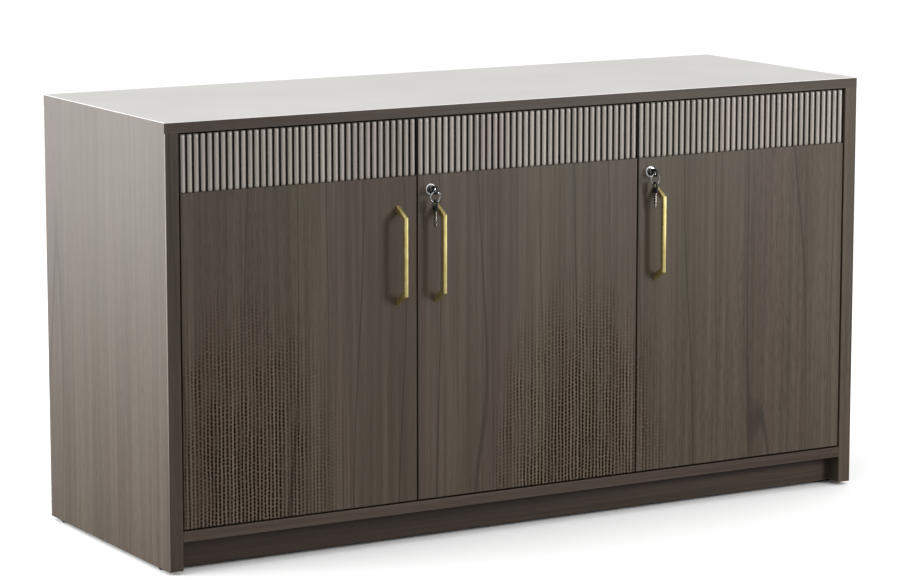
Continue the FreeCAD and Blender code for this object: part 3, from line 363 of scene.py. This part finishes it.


# The laminate's pale grey is painted sheen.
sheen_painted_laminate = painted_pale_laminate("laminate painted pale grey for sheen", "#bcbbb7", "#c3c2be")
highlight_painted_edge = painted_pale_laminate("painted highlight on laminate edge", "#f2f1ee", "#fafaf8")
top_sheet = eased("top_laminate", sheen_painted_laminate, SHEET_ARRIS)
top_sheet.data.materials.append(highlight_painted_edge)
# The sheet's edges take the painted highlight.
for face in top_sheet.data.polygons:
    if face.normal.z < SQUARE_ON:
        face.material_index = 1

# Bottom, partition and shelves: 18 mm boards of the same melamine. The bottom's front edge shows
# below the doors, and the rest is seen when they stand open.
INNER_ARRIS = 0.0005
eased("bottom_panel", level_wood, TAPE_ARRIS)
eased("partition", upright_wood, INNER_ARRIS)
eased("shelf_left", level_wood, INNER_ARRIS)
eased("shelf_right", level_wood, INNER_ARRIS)

# Back and plinth: a 6 mm board with a dark foil in grooves of the carcass, and two boards set back under
# the bottom, in a duller melamine that stays in shadow.
PLINTH_WOOD = ((0.55, "#372d24"), (0.75, "#3f342a"), (0.95, "#483c31"))
PLINTH_FINISH = "matt dark wood melamine, level grain"
plinth_wood = wood_grain(PLINTH_FINISH, LEVEL, PLINTH_WOOD, DARK_LINE, roughness=0.55)
eased("plinth_front", plinth_wood, INNER_ARRIS)
eased("plinth_rear", plinth_wood, INNER_ARRIS)


def dress(name, material):
    """Gives a CAD node that keeps its own shape a finish."""
    mesh = frame["nodes"][name].data
    mesh.materials.clear()
    mesh.materials.append(material)


back_foil = wood_grain("dark wood foil on thin board", UPRIGHT, PLINTH_WOOD, DARK_LINE, roughness=0.6)
dress("back_panel", back_foil)

# Fittings of the carcass: black moulded glides, zinc-plated cams, bolts, pins, strike plate and screws,
# nickel-plated hinge plates and arms, and beech dowels. Most of them are pushed or screwed into bores, and
# show only when a door is open.
PRESSED_EDGE = 0.0003
HINGE_EDGE = 0.0004
SCREW_HEAD_HEIGHT = 0.55


def moulded_black(name, grain_mm):
    """Nylon or ABS from a spark-eroded mould: near black, with a fine even grain that dulls it."""
    material, tree, place = begun_finish(name)
    pattern = {"Vector": place, "Scale": 1000 / grain_mm, "Detail": 2.0}
    grain = add(tree, "ShaderNodeTexNoise", pattern).outputs["Fac"]
    tone = add(tree, "ShaderNodeValToRGB", {"Fac": grain})
    ramp_stops(tone, ((0.3, "#0d0d0e"), (0.7, "#1b1b1c")))
    gloss = add(tree, "ShaderNodeMapRange", {"Value": grain, "To Min": 0.36, "To Max": 0.52}).outputs[0]
    pressed = {"Strength": 0.2, "Distance": 0.0001, "Height": grain}
    relief = add(tree, "ShaderNodeBump", pressed).outputs[0]
    looks = {"Base Color": tone.outputs["Color"], "Roughness": gloss, "Normal": relief}
    feed(tree, tree.nodes["Principled BSDF"], looks)
    return material


def plated_metal(name, dull, bright, roughness, brush_mm):
    """Plated or polished metal: a tone that drifts over 15 mm and fine upright marks of polishing."""
    material, tree, place = begun_finish(name)
    drift = add(tree, "ShaderNodeTexNoise", {"Vector": place, "Scale": 1 / 0.015, "Detail": 2.0})
    tone = add(tree, "ShaderNodeValToRGB", {"Fac": drift.outputs["Fac"]})
    ramp_stops(tone, ((0.35, dull), (0.65, bright)))
    brushed = {"Vector": place, "Scale": (1000 / brush_mm, 1000 / brush_mm, 20 / brush_mm)}
    along = add(tree, "ShaderNodeMapping", brushed).outputs[0]
    marks = add(tree, "ShaderNodeTexNoise", {"Vector": along, "Scale": 1.0, "Detail": 1.0}).outputs["Fac"]
    spread = {"Value": marks, "To Min": roughness * 0.8, "To Max": roughness * 1.25}
    gloss = add(tree, "ShaderNodeMapRange", spread).outputs[0]
    scratched = {"Strength": 0.08, "Distance": 0.00005, "Height": marks}
    relief = add(tree, "ShaderNodeBump", scratched).outputs[0]
    looks = {"Base Color": tone.outputs["Color"], "Roughness": gloss, "Normal": relief, "Metallic": 1.0}
    feed(tree, tree.nodes["Principled BSDF"], looks)
    return material


def deburred(name, finish, radius=PRESSED_EDGE):
    """A pressed, cast, bent or moulded piece, with every sharp edge rounded."""
    eased(name, finish, radius, outer_only=False, steps=2)


def begun_tree(name, inputs):
    """A geometry tree with named inputs and one mesh out, and the sockets of its inputs."""
    tree = bpy.data.node_groups.new(name, "GeometryNodeTree")
    for title, kind in inputs.items():
        tree.interface.new_socket(title, in_out="INPUT", socket_type="NodeSocket" + kind)
    tree.interface.new_socket("Geometry", in_out="OUTPUT", socket_type="NodeSocketGeometry")
    return tree, add(tree, "NodeGroupInput").outputs


def pan_screw_tree():
    """Pan-head screws with a cross recess, one on each point. A point carries the way that its head faces,
    the head's radius, and the shank's radius and length. Other sizes are shares of the head's radius."""
    tree, given = begun_tree(
        "Pan-head screws",
        {
            "Points": "Geometry",
            "Head height": "Float",
            "Crown share": "Float",
            "Recess length": "Float",
            "Recess width": "Float",
            "Recess depth": "Float",
            "Finish": "Material",
        },
    )
    carried = {}
    for name, kind in (("way", "FLOAT_VECTOR"), ("head", "FLOAT"), ("shank", "FLOAT_VECTOR")):
        layer = add(tree, "GeometryNodeInputNamedAttribute", {"Name": name}, data_type=kind)
        carried[name] = layer.outputs[0]
    aligned = add(tree, "FunctionNodeAlignRotationToVector", {"Vector": carried["way"]}, axis="Z").outputs[0]

    drum = {"Vertices": 24, "Side Segments": 4, "Radius": 1.0, "Depth": given["Head height"]}
    blank = add(tree, "GeometryNodeMeshCylinder", drum).outputs["Mesh"]
    spot = add(tree, "GeometryNodeInputPosition").outputs[0]
    height = add(tree, "ShaderNodeSeparateXYZ", {0: spot}).outputs[2]
    half = add(tree, "ShaderNodeMath", {0: given["Head height"], 1: 2.0}, operation="DIVIDE").outputs[0]
    rise = add(tree, "ShaderNodeMath", {0: height, 1: half}, operation="DIVIDE", use_clamp=True).outputs[0]
    bend = add(tree, "ShaderNodeMath", {0: rise, 1: rise}, operation="MULTIPLY").outputs[0]
    crown = {"Value": bend, "To Min": 1.0, "To Max": given["Crown share"]}
    taper = add(tree, "ShaderNodeMapRange", crown).outputs[0]
    narrowed = add(tree, "ShaderNodeCombineXYZ", {0: taper, 1: taper, 2: 1.0}).outputs[0]
    domed = add(tree, "ShaderNodeVectorMath", {0: spot, 1: narrowed}, operation="MULTIPLY").outputs[0]
    blank = add(tree, "GeometryNodeSetPosition", {"Geometry": blank, "Position": domed}).outputs[0]
    drop = add(tree, "ShaderNodeMath", {0: half, 1: -1.0}, operation="MULTIPLY").outputs[0]
    lowered = add(tree, "ShaderNodeCombineXYZ", {2: drop}).outputs[0]
    blank = add(tree, "GeometryNodeTransform", {"Geometry": blank, "Translation": lowered}).outputs[0]
    # The second slot is a little deeper, so that the floors of the two don't lie in one plane.
    for along, across, share in (
        ("Recess length", "Recess width", 2.0),
        ("Recess width", "Recess length", 2.2),
    ):
        sunk = {0: given["Recess depth"], 1: share}
        deep = add(tree, "ShaderNodeMath", sunk, operation="MULTIPLY").outputs[0]
        arm = add(tree, "ShaderNodeCombineXYZ", {0: given[along], 1: given[across], 2: deep}).outputs[0]
        slot = add(tree, "GeometryNodeMeshCube", {"Size": arm}).outputs["Mesh"]
        cut = {"Mesh 1": blank, "Mesh 2": slot}
        blank = add(tree, "GeometryNodeMeshBoolean", cut, operation="DIFFERENCE").outputs["Mesh"]
    heads = {"Points": given["Points"], "Instance": blank, "Rotation": aligned, "Scale": carried["head"]}
    heads = add(tree, "GeometryNodeInstanceOnPoints", heads)

    rod = add(tree, "GeometryNodeMeshCylinder", {"Vertices": 12, "Radius": 1.0, "Depth": 1.0}).outputs["Mesh"]
    rod = add(tree, "GeometryNodeTransform", {"Geometry": rod, "Translation": (0.0, 0.0, -0.5)}).outputs[0]
    tall = {0: carried["head"], 1: given["Head height"]}
    under = add(tree, "ShaderNodeMath", tall, operation="MULTIPLY").outputs[0]
    inward = add(tree, "ShaderNodeMath", {0: under, 1: -1.0}, operation="MULTIPLY").outputs[0]
    set_in = {0: carried["way"], "Scale": inward}
    shift = add(tree, "ShaderNodeVectorMath", set_in, operation="SCALE").outputs[0]
    seats = add(tree, "GeometryNodeSetPosition", {"Geometry": given["Points"], "Offset": shift}).outputs[0]
    shanks = {"Points": seats, "Instance": rod, "Rotation": aligned, "Scale": carried["shank"]}
    shanks = add(tree, "GeometryNodeInstanceOnPoints", shanks)

    joined = add(tree, "GeometryNodeJoinGeometry")
    for part in (heads, shanks):
        tree.links.new(part.outputs[0], joined.inputs[0])
    whole = add(tree, "GeometryNodeRealizeInstances", {"Geometry": joined.outputs[0]}).outputs[0]
    plated = {"Geometry": whole, "Material": given["Finish"]}
    whole = add(tree, "GeometryNodeSetMaterial", plated).outputs[0]
    add(tree, "NodeGroupOutput", {"Geometry": whole})
    return tree


def screw_points(name):
    """The screws of a CAD node as points on their heads, with the way each head faces and its sizes."""
    work = bmesh.new()
    work.from_mesh(frame["nodes"][name].data)
    bmesh.ops.remove_doubles(work, verts=work.verts, dist=SAME_POINT)
    points = {"place": [], "way": [], "head": [], "shank": []}
    walked = set()
    for first in work.verts:
        if first in walked:
            continue
        walked.add(first)
        screw = [first]
        for corner in screw:
            for edge in corner.link_edges:
                other = edge.other_vert(corner)
                if other not in walked:
                    walked.add(other)
                    screw.append(other)
        low = Vector([min(corner.co[axis] for corner in screw) for axis in range(3)])
        high = Vector([max(corner.co[axis] for corner in screw) for axis in range(3)])
        middle = (low + high) / 2
        long_way = max(range(3), key=lambda axis: high[axis] - low[axis])
        radii = [0.0, 0.0]
        for corner in screw:
            off = corner.co - middle
            end = int(off[long_way] > 0.0)
            off[long_way] = 0.0
            radii[end] = max(radii[end], off.length)
        head_end = int(radii[1] > radii[0])
        way = Vector((0.0, 0.0, 0.0))
        way[long_way] = 1.0 if head_end else -1.0
        reach = (high[long_way] - low[long_way]) / 2
        points["place"].append(middle + way * reach)
        points["way"].append(way)
        points["head"].append(radii[head_end])
        shank = radii[1 - head_end]
        points["shank"].append((shank, shank, 2 * reach - radii[head_end] * SCREW_HEAD_HEIGHT))
    work.free()
    mesh = bpy.data.meshes.new(name + "_points")
    mesh.from_pydata(points["place"], [], [])
    for carried, kind, field in (
        ("way", "FLOAT_VECTOR", "vector"),
        ("head", "FLOAT", "value"),
        ("shank", "FLOAT_VECTOR", "vector"),
    ):
        layer = mesh.attributes.new(carried, kind, "POINT")
        for item, value in zip(layer.data, points[carried]):
            setattr(item, field, value)
    return mesh


def run_tree(name, tree, given, mesh=None):
    """Runs a node tree with named inputs on a mesh, or on nothing, and keeps the result as a plain mesh."""
    piece = bpy.data.objects.new(name, mesh or bpy.data.meshes.new(name))
    bpy.context.scene.collection.objects.link(piece)
    made = piece.modifiers.new("Made", "NODES")
    made.node_group = tree
    for socket in tree.interface.items_tree:
        if socket.in_out == "INPUT" and socket.name in given:
            made[socket.identifier] = given[socket.name]
    made_plain(piece)
    return piece


screw_tree = pan_screw_tree()


def screwed(name, finish):
    """Pan-head screws in the places of a CAD node's plain ones."""
    sizes = {
        "Head height": SCREW_HEAD_HEIGHT,
        "Crown share": 0.72,
        "Recess length": 1.05,
        "Recess width": 0.26,
        "Recess depth": 0.30,
        "Finish": finish,
    }
    stand_for(name, run_tree(name + "_cross_recess", screw_tree, sizes, screw_points(name)))


black_nylon = moulded_black("black moulded nylon", 0.8)
zinc = plated_metal("zinc-plated steel", "#9c9d9c", "#b6b7b5", 0.34, 0.4)
nickel = plated_metal("nickel-plated steel", "#a5a29b", "#c2bfb7", 0.24, 0.3)
dress("glide_feet", black_nylon)
for fitting in ("cam_discs", "cam_bolts", "shelf_pins"):
    dress(fitting, zinc)
deburred("strike_plate", zinc)
for fitting in ("hinge_plates", "hinge_arms"):
    deburred(fitting, nickel, HINGE_EDGE)
screwed("board_screws", zinc)
BEECH = ((0.55, "#b08b60"), (0.75, "#bf996c"), (0.95, "#cba97c"))
BEECH_LINE = "#8a6a45"
dress("dowels", wood_grain("plain beech", UPRIGHT, BEECH, BEECH_LINE, roughness=0.6))

# Doors: 18 mm boards with the grain upright, edged all round. Each has cup hinges on one side, and a
# rebate across its top front for the reeded strip.
DOOR_ARRIS = 0.0008
DOORS = ("left", "middle", "right")
# The centre and reach of each place where the pores lie open. One is low on the left door, and one is low
# on the middle door and runs a little way onto the right one. Both reach far past the boards in depth.
OPEN_PORES = (
    ((-0.55, 0.0, 0.10), (0.23, 9.0, 0.43)),
    ((0.10, 0.0, 0.10), (0.22, 9.0, 0.40)),
)
OPEN_PORED = "dark wood melamine with open pores"
door_wood = wood_grain(OPEN_PORED, UPRIGHT, DARK_WOOD, DARK_LINE, open_pored=OPEN_PORES)
for door in DOORS:
    eased(f"{door}_door_panel", door_wood, DOOR_ARRIS)
    deburred(f"{door}_door_hinge_cups", nickel)
    dress(f"{door}_door_hinge_pins", nickel)
    screwed(f"{door}_door_screws", nickel)

# Reeded strips: a thin dark board with convex reeds milled upright, their fronts wrapped in a paler satin
# foil. The reeds' ends are rounded over. The board and the reeds' side walls are painted near black,
# darker than the wood, as painted shade in the grooves between the reeds.
REED_COUNT = 36
REED_WIDTH = 0.008
REED_DEPTH = 0.005
REED_CROWN = 0.0028
REED_NOSE = 0.0025
REED_BITE = 0.001
FOIL_FACING = -0.3
FOIL_SHARE = 0.98
FOIL_SHEEN = 0.8
REED_FOIL = ((0.55, "#a0978e"), (0.75, "#aca49b"), (0.95, "#b9b1a8"))
REED_LINE = "#8d857d"
GROOVE_SHADE_TONES = ((0.55, "#1f1914"), (0.75, "#272019"), (0.95, "#2e261f"))
GROOVE_SHADE_LINE = "#100c09"
reed_foil = wood_grain("satin taupe foil, upright grain", UPRIGHT, REED_FOIL, REED_LINE, roughness=0.24)
reed_foil.node_tree.nodes["Principled BSDF"].inputs["Specular IOR Level"].default_value = FOIL_SHEEN
groove_shade = wood_grain("painted shade in the reeded strip's grooves", UPRIGHT, GROOVE_SHADE_TONES, GROOVE_SHADE_LINE, roughness=0.6)


def reeded_strip_tree():
    """Reeds side by side on a board. Origin at the strip's lower left front corner, reeds along Z."""
    tree, given = begun_tree(
        "Reeded strip",
        {
            "Width": "Float",
            "Height": "Float",
            "Board back": "Float",
            "Reed count": "Int",
            "Reed width": "Float",
            "Reed depth": "Float",
            "Bite": "Float",
            "Crown": "Float",
            "Nose": "Float",
            "Reed finish": "Material",
            "Groove shade finish": "Material",
        },
    )
    half_height = add(tree, "ShaderNodeMath", {0: given["Height"], 1: 2.0}, operation="DIVIDE").outputs[0]
    half_width = add(tree, "ShaderNodeMath", {0: given["Reed width"], 1: 2.0}, operation="DIVIDE").outputs[0]
    spaced = {0: given["Width"], 1: given["Reed count"]}
    pitch = add(tree, "ShaderNodeMath", spaced, operation="DIVIDE").outputs[0]

    through = add(tree, "ShaderNodeMath", {0: given["Reed depth"], 1: given["Bite"]}).outputs[0]
    solid = {0: given["Reed width"], 1: through, 2: given["Height"]}
    size = add(tree, "ShaderNodeCombineXYZ", solid).outputs[0]
    bar = {"Size": size, "Vertices X": 9, "Vertices Y": 2, "Vertices Z": 17}
    block = add(tree, "GeometryNodeMeshCube", bar).outputs["Mesh"]
    spot = add(tree, "GeometryNodeInputPosition").outputs[0]
    parts = add(tree, "ShaderNodeSeparateXYZ", {0: spot}).outputs
    front = add(tree, "FunctionNodeCompare", {0: parts[1], 1: 0.0}, operation="LESS_THAN").outputs[0]
    across = add(tree, "ShaderNodeMath", {0: parts[0], 1: half_width}, operation="DIVIDE").outputs[0]
    bow = add(tree, "ShaderNodeMath", {0: across, 1: across}, operation="MULTIPLY").outputs[0]
    set_in = add(tree, "ShaderNodeMath", {0: bow, 1: given["Crown"]}, operation="MULTIPLY").outputs[0]
    reach = add(tree, "ShaderNodeMath", {0: parts[2]}, operation="ABSOLUTE").outputs[0]
    # The rows of points across a reed crowd towards its ends, where the nose needs them.
    from_middle = add(tree, "ShaderNodeMath", {0: reach, 1: half_height}, operation="DIVIDE").outputs[0]
    from_end = add(tree, "ShaderNodeMath", {0: 1.0, 1: from_middle}, operation="SUBTRACT").outputs[0]
    crowded = add(tree, "ShaderNodeMath", {0: from_end, 1: 3.0}, operation="POWER").outputs[0]
    kept = add(tree, "ShaderNodeMath", {0: 1.0, 1: crowded}, operation="SUBTRACT").outputs[0]
    end = add(tree, "ShaderNodeMath", {0: parts[2]}, operation="SIGN").outputs[0]
    side = add(tree, "ShaderNodeMath", {0: half_height, 1: end}, operation="MULTIPLY").outputs[0]
    level = add(tree, "ShaderNodeMath", {0: kept, 1: side}, operation="MULTIPLY").outputs[0]
    moved = add(tree, "ShaderNodeCombineXYZ", {0: parts[0], 1: parts[1], 2: level}).outputs[0]
    block = add(tree, "GeometryNodeSetPosition", {"Geometry": block, "Position": moved}).outputs[0]
    straight = {0: half_height, 1: given["Nose"]}
    nose_start = add(tree, "ShaderNodeMath", straight, operation="SUBTRACT").outputs[0]
    past = add(tree, "ShaderNodeMath", {0: reach, 1: nose_start}, operation="SUBTRACT").outputs[0]
    nosed = {0: past, 1: given["Nose"]}
    share = add(tree, "ShaderNodeMath", nosed, operation="DIVIDE", use_clamp=True).outputs[0]
    bend = add(tree, "ShaderNodeMath", {0: share, 1: share}, operation="MULTIPLY").outputs[0]
    rounded = {0: bend, 1: given["Nose"], 2: set_in}
    set_back = add(tree, "ShaderNodeMath", rounded, operation="MULTIPLY_ADD").outputs[0]
    shift = add(tree, "ShaderNodeCombineXYZ", {1: set_back}).outputs[0]
    bent = {"Geometry": block, "Selection": front, "Offset": shift}
    reed = add(tree, "GeometryNodeSetPosition", bent).outputs[0]

    half_pitch = add(tree, "ShaderNodeMath", {0: pitch, 1: 2.0}, operation="DIVIDE").outputs[0]
    middle_y = add(tree, "ShaderNodeMath", {0: through, 1: 2.0}, operation="DIVIDE").outputs[0]
    first = add(tree, "ShaderNodeCombineXYZ", {0: half_pitch, 1: middle_y, 2: half_height}).outputs[0]
    step = add(tree, "ShaderNodeCombineXYZ", {0: pitch}).outputs[0]
    line = {"Count": given["Reed count"], "Start Location": first, "Offset": step}
    row = add(tree, "GeometryNodeMeshLine", line).outputs[0]
    reeds = add(tree, "GeometryNodeInstanceOnPoints", {"Points": row, "Instance": reed})

    behind = {0: given["Board back"], 1: given["Reed depth"]}
    thickness = add(tree, "ShaderNodeMath", behind, operation="SUBTRACT").outputs[0]
    size = add(tree, "ShaderNodeCombineXYZ", {0: given["Width"], 1: thickness, 2: given["Height"]}).outputs[0]
    board = add(tree, "GeometryNodeMeshCube", {"Size": size}).outputs["Mesh"]
    both_faces = add(tree, "ShaderNodeMath", behind).outputs[0]
    board_y = add(tree, "ShaderNodeMath", {0: both_faces, 1: 2.0}, operation="DIVIDE").outputs[0]
    board_x = add(tree, "ShaderNodeMath", {0: given["Width"], 1: 2.0}, operation="DIVIDE").outputs[0]
    centre = add(tree, "ShaderNodeCombineXYZ", {0: board_x, 1: board_y, 2: half_height}).outputs[0]
    board = add(tree, "GeometryNodeTransform", {"Geometry": board, "Translation": centre})

    joined = add(tree, "GeometryNodeJoinGeometry")
    for part in (reeds, board):
        tree.links.new(part.outputs[0], joined.inputs[0])
    whole = add(tree, "GeometryNodeRealizeInstances", {"Geometry": joined.outputs[0]}).outputs[0]
    # The foil is on what faces forward and stands proud of the board. The rest, the board and the reeds' side
    # walls, takes the painted shade of the grooves.
    normal = add(tree, "GeometryNodeInputNormal").outputs[0]
    facing = add(tree, "ShaderNodeSeparateXYZ", {0: normal}).outputs[1]
    forward = add(tree, "FunctionNodeCompare", {0: facing, 1: FOIL_FACING}, operation="LESS_THAN").outputs[0]
    nearly = {0: given["Reed depth"], 1: FOIL_SHARE}
    board_front = add(tree, "ShaderNodeMath", nearly, operation="MULTIPLY").outputs[0]
    proud = add(tree, "FunctionNodeCompare", {0: parts[1], 1: board_front}, operation="LESS_THAN").outputs[0]
    outer = add(tree, "FunctionNodeBooleanMath", {0: forward, 1: proud}, operation="AND").outputs[0]
    whole = add(tree, "GeometryNodeSetShadeSmooth", {"Geometry": whole, "Selection": outer}).outputs[0]
    shaded_walls = {"Geometry": whole, "Material": given["Groove shade finish"]}
    whole = add(tree, "GeometryNodeSetMaterial", shaded_walls).outputs[0]
    foiled = {"Geometry": whole, "Selection": outer, "Material": given["Reed finish"]}
    whole = add(tree, "GeometryNodeSetMaterial", foiled).outputs[0]
    add(tree, "NodeGroupOutput", {"Geometry": whole})
    return tree


reeded_tree = reeded_strip_tree()
for door in DOORS:
    low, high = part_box(f"{door}_door_flutes")
    sizes = {
        "Width": high.x - low.x,
        "Height": high.z - low.z,
        "Board back": high.y - low.y,
        "Reed count": REED_COUNT,
        "Reed width": REED_WIDTH,
        "Reed depth": REED_DEPTH,
        "Bite": REED_BITE,
        "Crown": REED_CROWN,
        "Nose": REED_NOSE,
        "Reed finish": reed_foil,
        "Groove shade finish": groove_shade,
    }
    strip = run_tree(f"{door}_reeded_strip", reeded_tree, sizes)
    for corner in strip.data.vertices:
        corner.co += low
    stand_for(f"{door}_door_flutes", strip)

# Handles: flat brass bar bent back to the door on slanted legs, satin polished and lacquered, and
# screwed from inside the door.
BAR_EDGE = 0.0007
satin_brass = plated_metal("satin lacquered brass", "#b9aa6d", "#cbbd86", 0.48, 0.5)
for door in DOORS:
    deburred(f"{door}_door_handle", satin_brass, BAR_EDGE)

# Barrel bolt: a guide pressed from sheet and a turned rod with a knob, both zinc plated. The guide lies on
# the left door's inner face at its free edge, and the rod slides up in it into the top.
deburred("left_door_bolt_guide", zinc)
deburred("left_door_bolt_rod", zinc)

# Locks and keys: a chromed barrel with a turning plug, a zinc case with its bolt inside the door, and
# nickel keys with black moulded heads. The spare key hangs from a wire ring on the key in the lock.
KEY_TIP = 0.0024
KEY_CUTS = (0.0012, 0.0021, 0.0009, 0.0017, 0.0011)
KEY_CUT_PITCH = 0.0042
KEY_CUT_FLAT = 0.0012
KEY_CUT_SLOPE = 0.6
KEY_EDGE = 0.00015


def cut_blade(name, material):
    """A key's blade: a flat of strip steel with a pointed tip and a row of sloped cuts along one edge."""
    low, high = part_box(name)
    outline = [(high.y, high.z), (low.y, high.z)]
    for number, depth in reversed(list(enumerate(KEY_CUTS))):
        middle = low.z + KEY_TIP + KEY_CUT_PITCH * (number + 0.5)
        flat = KEY_CUT_FLAT / 2
        outline.append((low.y, middle + flat + KEY_CUT_SLOPE * depth))
        outline.append((low.y + depth, middle + flat))
        outline.append((low.y + depth, middle - flat))
        outline.append((low.y, middle - flat - KEY_CUT_SLOPE * depth))
    outline += [(low.y, low.z + KEY_TIP), ((low.y + high.y) / 2, low.z), (high.y, low.z + KEY_TIP)]
    work = bmesh.new()
    face = work.faces.new([work.verts.new((low.x, y, z)) for y, z in outline])
    swept = bmesh.ops.extrude_face_region(work, geom=[face])["geom"]
    for corner in swept:
        if isinstance(corner, bmesh.types.BMVert):
            corner.co.x = high.x
    bmesh.ops.recalc_face_normals(work, faces=work.faces)
    mesh = bpy.data.meshes.new(name + "_cut")
    work.to_mesh(mesh)
    work.free()
    mesh.materials.append(material)
    blade = bpy.data.objects.new(name + "_cut", mesh)
    bpy.context.scene.collection.objects.link(blade)
    arris = blade.modifiers.new("Arris", "BEVEL")
    arris.width = KEY_EDGE
    arris.segments = 2
    made_plain(blade)
    stand_for(name, blade)


chrome = plated_metal("polished chrome plate", "#c9cacb", "#dedfe0", 0.10, 0.3)
black_abs = moulded_black("black moulded ABS", 0.5)
for door in DOORS[1:]:
    deburred(f"{door}_lock_barrel", chrome)
    dress(f"{door}_lock_plug", chrome)
    dress(f"{door}_key_ring", chrome)
    dress(f"{door}_key_blade", nickel)
    cut_blade(f"{door}_spare_blade", nickel)
    dress(f"{door}_lock_case", zinc)
    dress(f"{door}_lock_bolt", zinc)
    deburred(f"{door}_key_head", black_abs)
    deburred(f"{door}_spare_head", black_abs)

# Floor: a wide, plain, near-white sweep. It shows white but throws only a little light back up, as a
# sweep does when the light on it is kept off the object.
FLOOR_HALF = 30.0
FLOOR_ROUGHNESS = 0.9
FLOOR_SEEN = "#fafafa"
FLOOR_THROWN = "#8c8c8c"
floor_mesh = bpy.data.meshes.new("studio_floor")
floor_corners = [(x * FLOOR_HALF, y * FLOOR_HALF, 0.0) for x, y in ((-1, -1), (1, -1), (1, 1), (-1, 1))]
floor_mesh.from_pydata(floor_corners, [], [(0, 1, 2, 3)])
floor = bpy.data.objects.new("studio_floor", floor_mesh)
bpy.context.scene.collection.objects.link(floor)
floor_paint = bpy.data.materials.new("matt white paint")
floor_paint.use_nodes = True
floor_tree = floor_paint.node_tree
seen = add(floor_tree, "ShaderNodeLightPath").outputs["Is Camera Ray"]
paint = {"Factor": seen, "A": linear(FLOOR_THROWN), "B": linear(FLOOR_SEEN)}
floor_tone = add(floor_tree, "ShaderNodeMix", paint, data_type="RGBA").outputs["Result"]
floor_looks = {"Base Color": floor_tone, "Roughness": FLOOR_ROUGHNESS}
feed(floor_tree, floor_tree.nodes["Principled BSDF"], floor_looks)
floor_mesh.materials.append(floor_paint)

# Light: a white surround that is brightest overhead, two soft boxes on the left, of which the one behind
# gives the side its sheen, and one at the right front that throws the handles' shadows to the left.
SKY_LEVEL = 0.32
SKY_OVERHEAD = 1.55
scene = bpy.context.scene
scene.view_settings.view_transform = "Standard"
world = bpy.data.worlds.new("white surround")
scene.world = world
world.use_nodes = True
sky = world.node_tree
direction = add(sky, "ShaderNodeTexCoord").outputs["Generated"]
height = add(sky, "ShaderNodeSeparateXYZ", {0: direction}).outputs[2]
brighter = {"Value": height, "To Min": SKY_LEVEL, "To Max": SKY_OVERHEAD}
strength = add(sky, "ShaderNodeMapRange", brighter).outputs[0]
feed(sky, sky.nodes["Background"], {"Strength": strength, "Color": (1.0, 1.0, 1.0, 1.0)})
for name, place, aim, wide, tall, watts in (
    ("back left soft box", (-2.4, 2.6, 0.8), (-0.69, 0.0, 0.4), 1.6, 1.6, 70.0),
    ("left soft box", (-2.9, 0.2, 0.9), (-0.69, 0.0, 0.4), 1.2, 1.2, 46.0),
    ("right front soft box", (1.55, -2.3, 1.1), (0.3, -0.22, 0.5), 0.5, 1.2, 34.5),
):
    data = bpy.data.lights.new(name, "AREA")
    data.energy = watts
    data.shape = "RECTANGLE"
    data.size = wide
    data.size_y = tall
    lamp = bpy.data.objects.new(name, data)
    lamp.location = place
    lamp.rotation_euler = (Vector(aim) - Vector(place)).to_track_quat("-Z", "Y").to_euler()
    scene.collection.objects.link(lamp)

# Camera: the photograph's viewing angle from the front left, through a long lens that looks slightly down.
# Its place, angles and lens are fitted to the cabinet's corners in the photograph.
CAMERA_PLACE = (-3.1310, -5.3426, 1.4266)
LOOKS_DOWN = 9.564
LOOKS_RIGHT = 30.155
LENS_MM = 141.38
SENSOR_MM = 36.0
FAR_CLIP = 100.0
lens = bpy.data.cameras.new("camera")
lens.sensor_width = SENSOR_MM
lens.lens = LENS_MM
lens.clip_end = FAR_CLIP
camera = bpy.data.objects.new("camera", lens)
camera.location = CAMERA_PLACE
camera.rotation_euler = (math.radians(90.0 - LOOKS_DOWN), 0.0, math.radians(-LOOKS_RIGHT))
scene.collection.objects.link(camera)
scene.camera = camera

bpy.context.view_layer.update()
